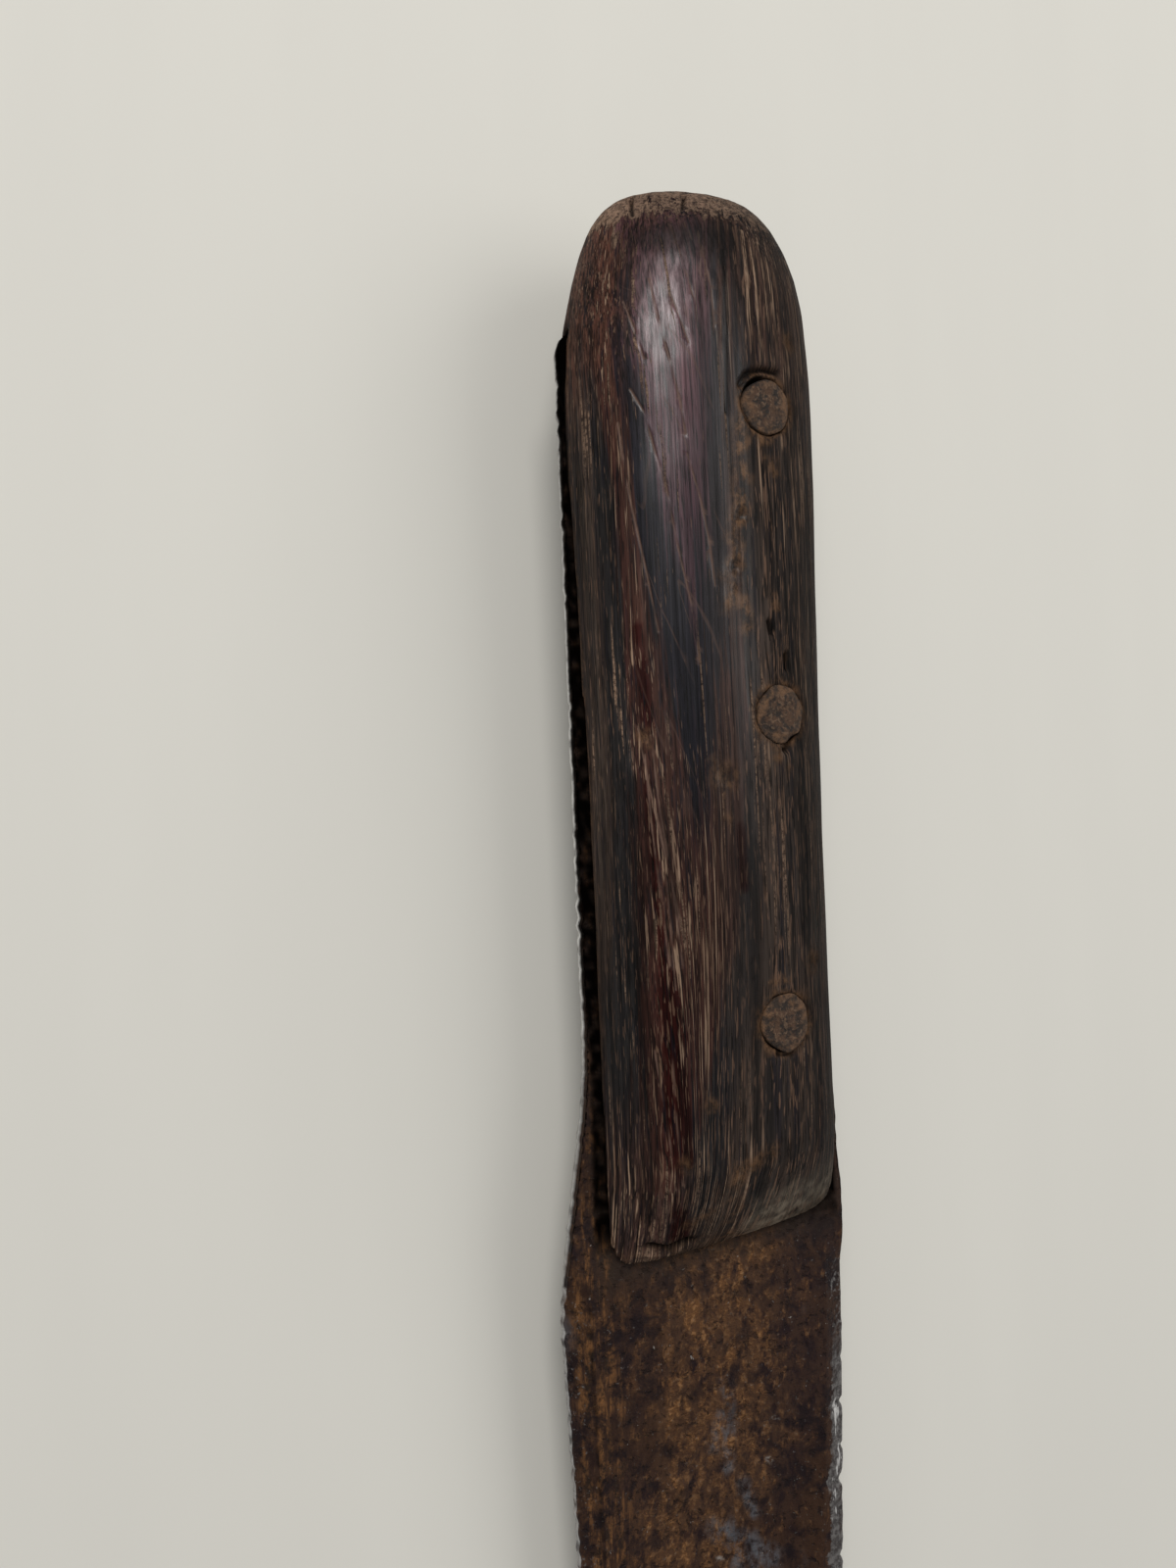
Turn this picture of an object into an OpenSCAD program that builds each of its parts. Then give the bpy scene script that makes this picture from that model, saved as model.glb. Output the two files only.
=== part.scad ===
// Fern trowel: a narrow dished blade whose flat tang is pinned into a slotted hardwood handle.
// Lengths run from the butt of the handle towards the tip of the blade, and sides are named
// as seen from above with the tip towards the viewer: left is -X and right is +X.

/* [Handle] */
// Length of the wood on its centre line
handle_length = 126.5; // [115:0.5:140]
// Width of the wood at the palm swell
handle_width = 32; // [29:0.5:34]
// Thickness of the wood at the palm swell
handle_thickness = 23.5; // [21:0.5:30]
// Width of the wood towards its front end
handle_front_width = 31.4; // [27:0.2:33]
// Thickness of the wood towards its front end
handle_front_thickness = 22; // [18:0.2:28]
// How far each side draws in halfway along, beside the palm swell
waist = 0.7; // [0:0.1:1.5]
// How square the oval section is, where 2 is an ellipse
section_power = 2.05; // [1.9:0.05:3]
// Length of the dome at the butt
butt_dome_length = 27; // [20:0.5:34]
// How full the dome is, where 2 is an ellipse
butt_dome_power = 2.2; // [1.6:0.05:3]
// Width of the worn flat on the butt end
butt_flat_width = 13.5; // [8:0.5:20]
// Thickness of the worn flat on the butt end
butt_flat_thickness = 8; // [6:0.5:16]
// How far the dome is worn down on its left side
butt_wear = 0.5; // [0:0.1:2]
// Angle at which the front end is cut, seen from above
front_slant = 8.5; // [0:0.5:15]
// Length over which each cheek is rounded down at the front end
front_round = 12; // [4:0.5:16]
// How full that rounding is, where 1 is a flat chamfer and 2 an ellipse
front_round_power = 1.35; // [1.2:0.05:2.4]
// How far the sides are rounded in at the front end
front_corner = 0.3; // [0.2:0.1:3]
// Thickness of the lip of wood left over the slot at the front end
front_lip = 1; // [0.8:0.1:4]

/* [Slot] */
// Clearance between the tang and each face of the slot
slot_fit = 0.15; // [0.1:0.05:0.4]
// Clearance past the end of the tang
slot_end_gap = 0.4; // [0.2:0.1:2]
// How far the upper cheek has lifted off the tang at the front end
cheek_lift = 0.6; // [0:0.1:1.5]

/* [Tang] */
// Distance from the butt to the end of the tang
tang_setback = 16; // [12:0.5:22]
// Distance from the centre line to the left edge of the tang
tang_left = 16.5; // [15.6:0.1:19]
// Distance from the centre line to the right edge of the tang
tang_right = 15.8; // [15:0.1:16.4]
// Radius of the corners at the end of the tang
tang_corner = 3; // [1:0.5:8]
// Thickness of the tang at its end
tang_end_thickness = 1.4; // [1.2:0.1:2.6]

/* [Blade] */
// Length of the blade from the wood to the tip
blade_length = 165; // [130:1:190]
// Distance from the centre line to the left edge of the blade at its widest
blade_left = 20.4; // [19:0.1:26]
// Distance from the centre line to the right edge of the blade at its widest
blade_right = 16.6; // [16.4:0.1:24]
// Length over which the left shoulder flares, behind the wood's front end
shoulder_behind = 26; // [18:1:34]
// Length over which the shoulder flares, ahead of the wood's front end
shoulder_ahead = 10; // [5:1:20]
// Thickness of the steel where it leaves the wood
blade_thickness = 2.6; // [2:0.1:4]
// Thickness of the steel towards the tip
tip_thickness = 1.7; // [1.2:0.1:3]
// How far each edge draws in between the shoulder and the tip
edge_taper = 3.2; // [0:0.1:6]
// Length of the rounded point
tip_length = 55; // [35:1:70]
// How pointed the tip is, where 0.5 is a plain ellipse
tip_power = 0.7; // [0.5:0.05:1]
// Width of the blunt end of the tip
tip_blunt = 2.4; // [1:0.1:5]
// Depth of the dish below the plane of the edges
dish_depth = 5; // [0:0.25:8]
// Distance from the wood to where the dish begins
dish_ahead = 3; // [2.5:0.5:20]
// Length over which the dish deepens
dish_run = 60; // [30:1:90]
// Width of the bevel ground along each upper edge
bevel_width = 3; // [1:0.1:5]
// Thickness left at the edges
edge_thickness = 0.9; // [0.5:0.1:1.5]

/* [Pins] */
// Diameter of the iron pins
pin_d = 6.35; // [4:0.05:8]
// Distance between the pins along the handle
pin_spacing = 36; // [28:0.5:40]
// Distance from the centre line to the pins, towards the right
pin_offset = 5.9; // [-6:0.1:7]
// How far the middle pin strays further right, and the front pin back again
pin_stray = 0.5; // [0:0.1:1]
// Clearance all round a pin in its holes
pin_fit = 0.1; // [0.05:0.05:0.3]
// How far the pin ends are filed below the wood
pin_sunk = 0.1; // [0:0.05:0.5]

/* [Hidden] */

// Facets: points round the wood, rings along each stretch, and points across the steel
wood_sides = 40;
dome_rings = 9;
body_rings = 10;
front_rings = 6;
steel_across = 12;
corner_rings = 4;
flare_rings = 10;
blade_rings = 12;
tip_rings = 11;
round_fn = 64;

// Places along the tool, measured from the butt
palm_at = butt_dome_length + 5;
front_round_at = handle_length - front_round;
flare_at = handle_length - shoulder_behind;
shoulder_at = handle_length + shoulder_ahead;
dish_at = handle_length + dish_ahead;
total_length = handle_length + blade_length;
tip_at = total_length - tip_length;
butt_pin = [pin_offset, handle_length / 2 - pin_spacing];
middle_pin = [pin_offset + pin_stray, handle_length / 2];
front_pin = [pin_offset - pin_stray, handle_length / 2 + pin_spacing];
slot_end_at = tang_setback - slot_end_gap;

// The origin is under the middle of the whole tool, on the surface that the handle lies on
blade_middle = (blade_right - blade_left) / 2;
blade_half = (blade_right + blade_left) / 2;
lift = handle_thickness / 2;
front_end_half = blade_thickness / 2 + slot_fit + cheek_lift + front_lip;
overshoot = 10;

function place(x, along, z) = [x - blade_middle, total_length / 2 - along, z + lift];
function mix(a, b, u) = a + (b - a) * u;
function clamp01(u) = min(max(u, 0), 1);
function smooth(u) = let (c = clamp01(u)) c * c * (3 - 2 * c);
function fullness(u, power) = pow(1 - pow(u, power), 1 / power);
function steps(from, to, count) = [for (i = [1:count]) mix(from, to, i / count)];

// Skin over a run of rings with the same even number of points, its two ends closed by strips
module loft(rings) {
    count = len(rings[0]);
    last = len(rings) - 1;
    sides = [
        for (r = [0:last - 1], i = [0:count - 1])
            let (a = r * count + i, b = r * count + (i + 1) % count)
                each [[a, b, b + count], [a, b + count, a + count]]
    ];
    far = last * count;
    ends = [
        for (i = [0:count / 2 - 2])
            let (j = count - 1 - i)
                each [
                    [i + 1, i, j],
                    [i + 1, j, j - 1],
                    [far + i, far + i + 1, far + j],
                    [far + i + 1, far + j - 1, far + j]
                ]
    ];
    polyhedron(points = [for (ring = rings) each ring], faces = concat(ends, sides), convexity = 6);
}

// Half sizes of the wood, from the worn flat over the dome, palm swell and waist to the front lip
function swell(palm, front, along) =
    mix(palm, front, smooth((along - palm_at) / (handle_length - palm_at))) / 2;
function drawn_in(along) =
    waist * sin(180 * clamp01((along - palm_at) / (handle_length - palm_at)));
function dome(flat, full, along) =
    mix(flat / 2, full, fullness(1 - min(along / butt_dome_length, 1), butt_dome_power));
function front_fade(along) =
    fullness(clamp01((along - front_round_at) / front_round), front_round_power);
function wood_half_width(along) =
    dome(butt_flat_width, swell(handle_width, handle_front_width, along), along)
    - drawn_in(along) - front_corner * (1 - front_fade(along));
function wood_half_height(along) =
    mix(
        front_end_half,
        dome(butt_flat_thickness, swell(handle_thickness, handle_front_thickness, along), along),
        front_fade(along)
    );
function lean(along) = butt_wear * sin(180 * min(along / (0.7 * butt_dome_length), 1));
function slant(x, along) = -x * tan(front_slant) * smooth(along / handle_length);
function bulge(c) = sign(c) * pow(abs(c), 2 / section_power);

function wood_ring(along, inset) = [
    for (i = [0:wood_sides - 1])
        let (
            a = 360 * i / wood_sides,
            x = (wood_half_width(along) - inset) * bulge(cos(a)),
            z = (wood_half_height(along) - inset) * bulge(sin(a))
        )
            place(x + lean(along), along + slant(x, along), z)
];

wood_stations = concat(
    [for (i = [0:dome_rings]) butt_dome_length * (1 - cos(90 * i / dome_rings))],
    steps(butt_dome_length, front_round_at, body_rings),
    [for (i = [1:front_rings]) front_round_at + front_round * sin(90 * i / front_rings)]
);

// The wood before the slot is sawn, drawn in by an inset all round
module wood_blank(inset = 0) {
    loft([for (along = wood_stations) wood_ring(along, inset)]);
}

// Thickness of the steel: it swells from the tang's end to the wood's front, then thins again
function tang_thickness(along) =
    mix(tang_end_thickness, blade_thickness, (along - tang_setback) / (dish_at - tang_setback));
function steel_thickness(along) =
    along < dish_at
        ? tang_thickness(along)
        : mix(blade_thickness, tip_thickness, (along - dish_at) / (total_length - dish_at));

// Outline of the steel: rounded tang end, flared shoulder, slow taper, rounded point
function corner_cut(along) =
    let (u = clamp01((along - tang_setback) / tang_corner))
        tang_corner * (1 - sqrt(1 - pow(1 - u, 2)));
function draw_in(along) = edge_taper * clamp01((along - shoulder_at) / (tip_at - shoulder_at));
function flare(tang, full, along) =
    mix(tang, full, smooth((along - flare_at) / (shoulder_at - flare_at)))
    - corner_cut(along) - draw_in(along);
function tip_fade(along) =
    pow(1 - pow(clamp01((along - tip_at) / tip_length), 2), tip_power);
function to_middle(x, along) =
    along > tip_at
        ? blade_middle + sign(x - blade_middle)
            * mix(tip_blunt / 2, abs(x - blade_middle), tip_fade(along))
        : x;
function left_edge(along) = to_middle(-flare(tang_left, blade_left, along), along);
function right_edge(along) = to_middle(flare(tang_right, blade_right, along), along);

// Points across the steel: an edge, the foot of its bevel, and even steps between the bevels
function bevel_at(along) =
    min(bevel_width, (right_edge(along) - left_edge(along)) / 4);
function across(along) = concat(
    [left_edge(along)],
    [
        for (i = [0:steel_across])
            mix(
                left_edge(along) + bevel_at(along),
                right_edge(along) - bevel_at(along),
                i / steel_across
            )
    ],
    [right_edge(along)]
);

// Underside and upper face of the steel at a point
function dish(x, along) =
    dish_depth * smooth((along - dish_at) / dish_run)
    * (pow((x - blade_middle) / blade_half, 2) - 1);
function under(x, along) = dish(x, along) - steel_thickness(along) / 2;
function bevel_drop(along) =
    (steel_thickness(along) - edge_thickness) * smooth((along - handle_length) / shoulder_ahead);
function tip_drop(along) =
    (steel_thickness(along) - edge_thickness)
    * (1 - clamp01((total_length - along) / bevel_width));
function upper(x, along, on_edge) =
    under(x, along) + steel_thickness(along)
    - (on_edge ? bevel_drop(along) : tip_drop(along));

function steel_ring(along) =
    let (xs = across(along), last = len(xs) - 1) concat(
        [for (i = [last:-1:0]) place(xs[i], along, upper(xs[i], along, i == 0 || i == last))],
        [for (i = [0:last]) place(xs[i], along, under(xs[i], along))]
    );

steel_stations = concat(
    [for (i = [0:corner_rings]) tang_setback + tang_corner * (1 - cos(90 * i / corner_rings))],
    [flare_at],
    steps(flare_at, handle_length, flare_rings / 2),
    steps(handle_length, shoulder_at, flare_rings / 2),
    steps(shoulder_at, tip_at, blade_rings),
    [for (i = [1:tip_rings]) tip_at + tip_length * sin(90 * i / tip_rings)]
);

// Round bars or holes along the pins' axes
module pin_bar(at, r) {
    translate(place(at[0], at[1], -handle_thickness))
        cylinder(h = 2 * handle_thickness, r = r, $fn = round_fn);
}

module pin_holes() {
    for (at = [butt_pin, middle_pin, front_pin]) pin_bar(at, pin_d / 2 + pin_fit);
}

// Saw slot in side view: parallel to the tang, opening upwards ahead of the last pin
module tang_slot() {
    far = handle_length + overshoot;
    far_lift = cheek_lift * (far - front_pin[1]) / (handle_length - front_pin[1]);
    function face(along, side, extra) =
        [place(0, along, 0)[1], lift + side * (tang_thickness(along) / 2 + slot_fit) + extra];
    translate([-handle_width, 0, 0])
        rotate([90, 0, 90])
            linear_extrude(height = 2 * handle_width)
                polygon([
                    face(slot_end_at, -1, 0),
                    face(slot_end_at, 1, 0),
                    face(front_pin[1], 1, 0),
                    face(far, 1, far_lift),
                    face(far, -1, 0)
                ]);
}

// A pin fills its holes less the clearance, and its ends are filed to the shape of the wood
module pin(at) {
    color("#5a4030")
        intersection() {
            pin_bar(at, pin_d / 2);
            wood_blank(pin_sunk);
        }
}

module blade() {
    color("#5c4638")
        difference() {
            loft([for (along = steel_stations) steel_ring(along)]);
            pin_holes();
        }
}

module handle() {
    color("#4b2a24")
        difference() {
            wood_blank();
            tang_slot();
            pin_holes();
        }
}

module pin_butt() {
    pin(butt_pin);
}

module pin_middle() {
    pin(middle_pin);
}

module pin_front() {
    pin(front_pin);
}

blade();
handle();
pin_butt();
pin_middle();
pin_front();
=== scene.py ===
# A fern trowel: a saw-cut rosewood handle pinned to a long rusted steel blade, in metres in the row's frame

import math

import bmesh
import bpy
from mathutils import Euler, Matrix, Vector, noise
from mathutils.bvhtree import BVHTree

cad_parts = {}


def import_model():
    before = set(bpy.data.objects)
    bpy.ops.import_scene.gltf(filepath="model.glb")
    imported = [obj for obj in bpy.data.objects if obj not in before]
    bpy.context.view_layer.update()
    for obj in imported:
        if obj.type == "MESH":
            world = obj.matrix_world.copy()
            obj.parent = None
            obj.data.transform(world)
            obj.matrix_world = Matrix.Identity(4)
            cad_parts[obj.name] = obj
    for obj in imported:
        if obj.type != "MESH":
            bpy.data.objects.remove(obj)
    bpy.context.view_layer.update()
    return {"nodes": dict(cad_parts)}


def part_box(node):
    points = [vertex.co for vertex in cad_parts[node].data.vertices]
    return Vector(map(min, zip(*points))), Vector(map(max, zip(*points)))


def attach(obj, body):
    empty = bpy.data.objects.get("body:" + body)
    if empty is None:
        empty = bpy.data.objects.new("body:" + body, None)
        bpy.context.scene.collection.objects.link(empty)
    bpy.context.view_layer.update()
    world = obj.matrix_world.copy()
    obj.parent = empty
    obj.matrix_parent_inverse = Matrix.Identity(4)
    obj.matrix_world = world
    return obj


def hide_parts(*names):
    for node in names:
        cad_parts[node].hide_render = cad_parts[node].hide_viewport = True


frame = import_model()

# Sizes of the tool, as the part has them
MM = 0.001
HANDLE_LENGTH = 126.5 * MM
BLADE_LENGTH = 165 * MM
TOTAL_LENGTH = HANDLE_LENGTH + BLADE_LENGTH
HANDLE_WIDTH = 32 * MM
HANDLE_THICKNESS = 23.5 * MM
FRONT_WIDTH = 31.4 * MM
FRONT_THICKNESS = 22 * MM
SECTION_POWER = 2.05
WAIST = 0.7 * MM
PALM_AT = 32 * MM
FRONT_SLANT = 8.5
FRONT_ROUND = 12 * MM
TANG_SETBACK = 16 * MM
TANG_LEFT = 16.5 * MM
TANG_RIGHT = 15.8 * MM
TANG_CORNER = 3 * MM
TANG_END_THICKNESS = 1.4 * MM
BLADE_LEFT = 20.4 * MM
BLADE_RIGHT = 16.6 * MM
BLADE_THICKNESS = 2.6 * MM
TIP_THICKNESS = 1.7 * MM
FLARE_AT = HANDLE_LENGTH - 26 * MM
SHOULDER_AT = HANDLE_LENGTH + 10 * MM
DISH_AT = HANDLE_LENGTH + 3 * MM
EDGE_TAPER = 3.2 * MM
TIP_LENGTH = 55 * MM
TIP_AT = TOTAL_LENGTH - TIP_LENGTH
TIP_POWER = 0.7
TIP_BLUNT = 2.4 * MM
DISH_DEPTH = 5 * MM
DISH_RUN = 60 * MM
BEVEL_WIDTH = 3 * MM
EDGE_THICKNESS = 0.9 * MM
BEVEL_RUN = 8 * MM
PIN_RADIUS = 3.175 * MM
PIN_OFFSET = 5.9 * MM
PIN_STRAY = 0.5 * MM
PIN_SPACING = 36 * MM
BLADE_MIDDLE = (BLADE_RIGHT - BLADE_LEFT) / 2
BLADE_HALF = (BLADE_RIGHT + BLADE_LEFT) / 2
LIFT = HANDLE_THICKNESS / 2
PINS = {
    "pin_butt": (PIN_OFFSET, HANDLE_LENGTH / 2 - PIN_SPACING),
    "pin_middle": (PIN_OFFSET + PIN_STRAY, HANDLE_LENGTH / 2),
    "pin_front": (PIN_OFFSET - PIN_STRAY, HANDLE_LENGTH / 2 + PIN_SPACING),
}


# Where a gap shows beside each pin: the way it faces and its spread in degrees, and how open it is
PIN_GAPS = {"pin_butt": (118, 75, 1.0), "pin_middle": (-62, 26, 0.7), "pin_front": (-125, 40, 0.5)}


def pin_gap(name, x, along):
    """How open the gap beside a pin is at one place: 1 in its middle, 0 where dirt has filled it"""
    facing, spread, openness = PIN_GAPS[name]
    around = math.degrees(math.atan2(PINS[name][1] - along, x - PINS[name][0]))
    return openness * bump_at(abs((around - facing + 180) % 360 - 180), spread)


def place(x, along, z):
    """A point of the tool: across, along from the butt, and up from the tang's middle"""
    return Vector((x - BLADE_MIDDLE, TOTAL_LENGTH / 2 - along, z + LIFT))


def tool_place(point):
    """The same, the other way round"""
    return point.x + BLADE_MIDDLE, TOTAL_LENGTH / 2 - point.y, point.z - LIFT


def mix(a, b, share):
    return a + (b - a) * share


def clamp01(value):
    return min(max(value, 0.0), 1.0)


def ease(value):
    c = clamp01(value)
    return c * c * (3 - 2 * c)


def bump_at(distance, radius):
    """A smooth hump: 1 in its middle and 0 beyond its radius"""
    return ease(1 - distance / radius)


# Camera, as the photograph was taken: from above, up to the left, rather near
PHOTO_WIDTH = 1200
PHOTO_HEIGHT = 1600
FOCAL_PIXELS = 1202
CAMERA_X = -53.629 * MM
CAMERA_ALONG = 70.251 * MM
CAMERA_Z = 136.454 * MM
CAMERA_TURN = (0.6116, -15.9888, -2.4987)
SENSOR = 36
SEES_FROM = 0.005
SEES_TO = 20

camera_data = bpy.data.cameras.new("camera")
camera = bpy.data.objects.new("camera", camera_data)
bpy.context.collection.objects.link(camera)
camera.location = place(CAMERA_X, CAMERA_ALONG, CAMERA_Z)
camera.rotation_euler = Euler([math.radians(angle) for angle in CAMERA_TURN])
camera_data.sensor_width = SENSOR
camera_data.lens = SENSOR * FOCAL_PIXELS / PHOTO_HEIGHT
camera_data.clip_start = SEES_FROM
camera_data.clip_end = SEES_TO
bpy.context.scene.camera = camera

camera_place = camera.location.copy()
camera_axes = camera.rotation_euler.to_matrix()
evaluated = bpy.context.evaluated_depsgraph_get()
cad_trees = {name: BVHTree.FromObject(node, evaluated) for name, node in frame["nodes"].items()}


def seen_at(pixel, node):
    """Where a ray through a pixel of the photograph meets a node"""
    across = (pixel[0] - PHOTO_WIDTH / 2) / FOCAL_PIXELS
    up = (PHOTO_HEIGHT / 2 - pixel[1]) / FOCAL_PIXELS
    ray = (camera_axes @ Vector((across, up, -1))).normalized()
    hit = cad_trees[node].ray_cast(camera_place, ray)[0]
    if hit is None:
        hit = cad_trees[node].find_nearest(camera_place + ray * CAMERA_Z)[0]
    return hit


def away_from(point, mark):
    """Distance of a point from a spot, or from a run of straight lines"""
    if isinstance(mark, Vector):
        return (point - mark).length
    found = []
    for a, b in zip(mark, mark[1:]):
        run = b - a
        share = clamp01((point - a).dot(run) / run.length_squared)
        found.append((point - a - run * share).length)
    return min(found)


# Node trees: each group and each material in its turn is the tree in hand
tree = None


def fresh(kind):
    """A new node in the tree in hand"""
    return tree.nodes.new("ShaderNode" + kind)


def plug(socket, value):
    if isinstance(value, bpy.types.NodeSocket):
        tree.links.new(value, socket)
    elif isinstance(value, tuple) and socket.type == "RGBA":
        socket.default_value = (*value, 1)
    else:
        socket.default_value = value


def set_inputs(node, **values):
    """Sets or links a node's inputs by name"""
    for name, value in values.items():
        plug(node.inputs[name.replace("_", " ")], value)


def sums(operation, a, b=0.0, clamp=False):
    made = fresh("Math")
    made.operation = operation
    made.use_clamp = clamp
    plug(made.inputs[0], a)
    plug(made.inputs[1], b)
    return made.outputs[0]


def times(a, b, clamp=False):
    return sums("MULTIPLY", a, b, clamp)


def plus(a, b, clamp=False):
    return sums("ADD", a, b, clamp)


def less(a, b, clamp=False):
    return sums("SUBTRACT", a, b, clamp)


def most(a, b, clamp=False):
    return sums("MAXIMUM", a, b, clamp)


def weighed(*parts):
    """Adds values up, each times its weight"""
    total = 0.0
    for value, weight in parts:
        total = plus(total, times(value, weight))
    return total


def ranged(value, low, high, to_low=0.0, to_high=1.0, smooth=True):
    """Rises from one value to another while the input runs from low to high"""
    made = fresh("MapRange")
    made.interpolation_type = "SMOOTHSTEP" if smooth else "LINEAR"
    set_inputs(made, Value=value, From_Min=low, From_Max=high, To_Min=to_low, To_Max=to_high)
    return made.outputs["Result"]


def straight(value, low, high, to_low, to_high):
    """The same in a straight line"""
    return ranged(value, low, high, to_low, to_high, False)


def runs(share, at_none, at_full):
    """Runs straight from one value to another as a share goes from 0 to 1"""
    return straight(share, 0, 1, at_none, at_full)


def tint(share, under, over, blend="MIX"):
    """Lays one colour over another"""
    made = fresh("Mix")
    made.data_type = "RGBA"
    made.blend_type = blend
    plug(made.inputs[0], share)
    plug(made.inputs[6], under)
    plug(made.inputs[7], over)
    return made.outputs[2]


def laid(colour, *layers):
    """Lays colours over one another: each layer is the share it covers and its colour"""
    for share, over in layers:
        colour = tint(share, colour, over)
    return colour


def ramp(value, stops):
    """A run of colours"""
    made = fresh("ValToRGB")
    steps = made.color_ramp.elements
    while len(steps) < len(stops):
        steps.new(1)
    for step, (at, colour) in zip(steps, stops):
        step.position = at
        step.color = (*colour, 1)
    plug(made.inputs[0], value)
    return made.outputs[0]


def cloud(vector, size, detail=3.0, rough=0.55, twist=0.0):
    """Noise with features of one size in metres"""
    made = fresh("TexNoise")
    set_inputs(made, Vector=vector, Scale=1 / size, Detail=detail, Roughness=rough, Distortion=twist)
    return made.outputs["Fac"]


def stretched(vector, scale=(1, 1, 1), turn=(0, 0, 0), shift=(0, 0, 0)):
    made = fresh("Mapping")
    turned = [math.radians(angle) for angle in turn]
    set_inputs(made, Vector=vector, Scale=scale, Rotation=turned, Location=shift)
    return made.outputs["Vector"]


def new_group(name, outputs, **defaults):
    """A shared effect with named sockets: it takes a place, and values with their defaults"""
    global tree
    tree = bpy.data.node_groups.new(name, "ShaderNodeTree")
    new_socket = tree.interface.new_socket
    new_socket(name="Vector", in_out="INPUT", socket_type="NodeSocketVector")
    for label, value in defaults.items():
        new_socket(name=label, in_out="INPUT", socket_type="NodeSocketFloat").default_value = value
    for label in outputs:
        new_socket(name=label, in_out="OUTPUT", socket_type="NodeSocketFloat")
    return tree.nodes.new("NodeGroupInput").outputs, tree.nodes.new("NodeGroupOutput").inputs


def use_group(group, **values):
    made = fresh("Group")
    made.node_tree = group
    set_inputs(made, **values)
    return made.outputs


def new_material(name):
    """A material with its shader, and the place in the object that its effects start from"""
    global tree
    material = bpy.data.materials.new(name)
    material.use_nodes = True
    tree = material.node_tree
    tree.nodes.clear()
    out = fresh("OutputMaterial")
    shader = fresh("BsdfPrincipled")
    tree.links.new(shader.outputs[0], out.inputs["Surface"])
    return material, shader, fresh("TexCoord").outputs["Object"]


def painted(name):
    """A value that was painted on the mesh's own points"""
    made = fresh("Attribute")
    made.attribute_name = name
    return made.outputs["Fac"]


def relief(height, distance):
    made = fresh("Bump")
    set_inputs(made, Height=height, Distance=distance, Strength=1.0)
    return made.outputs["Normal"]


# Shared effects


def make_fibres():
    """Fine lines along the grain: a soft streak, a thin dark pore and an open fleck above a chosen level"""
    outputs = ("Streak", "Pore", "Fleck")
    given, result = new_group("fibres", outputs, Width=0.0004, Stretch=0.04, Level=0.6)
    across = sums("DIVIDE", 1.0, given["Width"])
    scale = fresh("CombineXYZ")
    set_inputs(scale, X=across, Y=sums("DIVIDE", given["Stretch"], given["Width"]), Z=across)
    along = fresh("VectorMath")
    along.operation = "MULTIPLY"
    plug(along.inputs[0], given["Vector"])
    plug(along.inputs[1], scale.outputs[0])
    thin = cloud(stretched(along.outputs[0], (1, 0.7, 1), shift=(3, 5, 7)), 0.7, 1, 0.4)
    pale = cloud(stretched(along.outputs[0], (1, 1.2, 1), shift=(9, 2, 4)), 0.9, 2, 0.45)
    plug(result["Streak"], cloud(along.outputs[0], 1.8, 4, 0.65))
    plug(result["Pore"], ranged(thin, 0.58, 0.66))
    plug(result["Fleck"], ranged(pale, given["Level"], plus(given["Level"], 0.045)))
    return tree


def make_speckle():
    """Ragged spots that cover a share of a surface, with a finer break-up of their edges"""
    given, result = new_group("speckle", ("Mask", "Tone"), Size=0.001, Level=0.5, Softness=0.08)
    scaled = fresh("VectorMath")
    scaled.operation = "SCALE"
    set_inputs(scaled, Vector=given["Vector"], Scale=sums("DIVIDE", 1.0, given["Size"]))
    broad = cloud(scaled.outputs[0], 1.0, 5, 0.62, 0.4)
    plug(result["Mask"], ranged(broad, given["Level"], plus(given["Level"], given["Softness"])))
    plug(result["Tone"], broad)
    return tree


fibres = make_fibres()
speckle = make_speckle()


def spots(vector, size, level, softness):
    return use_group(speckle, Vector=vector, Size=size, Level=level, Softness=softness)


# Wood colours, from the heart outwards
HEART_PURPLE = (0.076, 0.033, 0.040)
HEART_DEEP = (0.046, 0.021, 0.027)
INK = (0.0060, 0.0052, 0.0085)
RED = (0.030, 0.0048, 0.0038)
RED_BROWN = (0.027, 0.0105, 0.0080)
BURNT = (0.038, 0.0165, 0.0112)
TAN = (0.262, 0.176, 0.120)
GRAIN_TAN = (0.118, 0.072, 0.055)
PATCH = (0.110, 0.064, 0.042)
CHARCOAL = (0.0135, 0.0120, 0.0120)
UMBER = (0.027, 0.018, 0.014)
DRY = (0.036, 0.027, 0.022)
BUTT_BROWN = (0.062, 0.026, 0.0175)
# Deep grime on the wood and pins, also used for painted shade on the steel ahead of the wood
DEEP_GRIME_AND_SHADE = (0.026, 0.016, 0.0105)
GRIME = (0.128, 0.068, 0.035)
END_DEEP = (0.020, 0.012, 0.009)
END_BROWN = (0.185, 0.120, 0.082)
DUST = (0.225, 0.185, 0.138)
# Black for painted shade in cracks, dents, gaps and hollows, and for the wood's dark pores
SHADE_AND_PORE_BLACK = (0.0025, 0.0020, 0.0018)
RING_SPAN = 24 * MM

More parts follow.
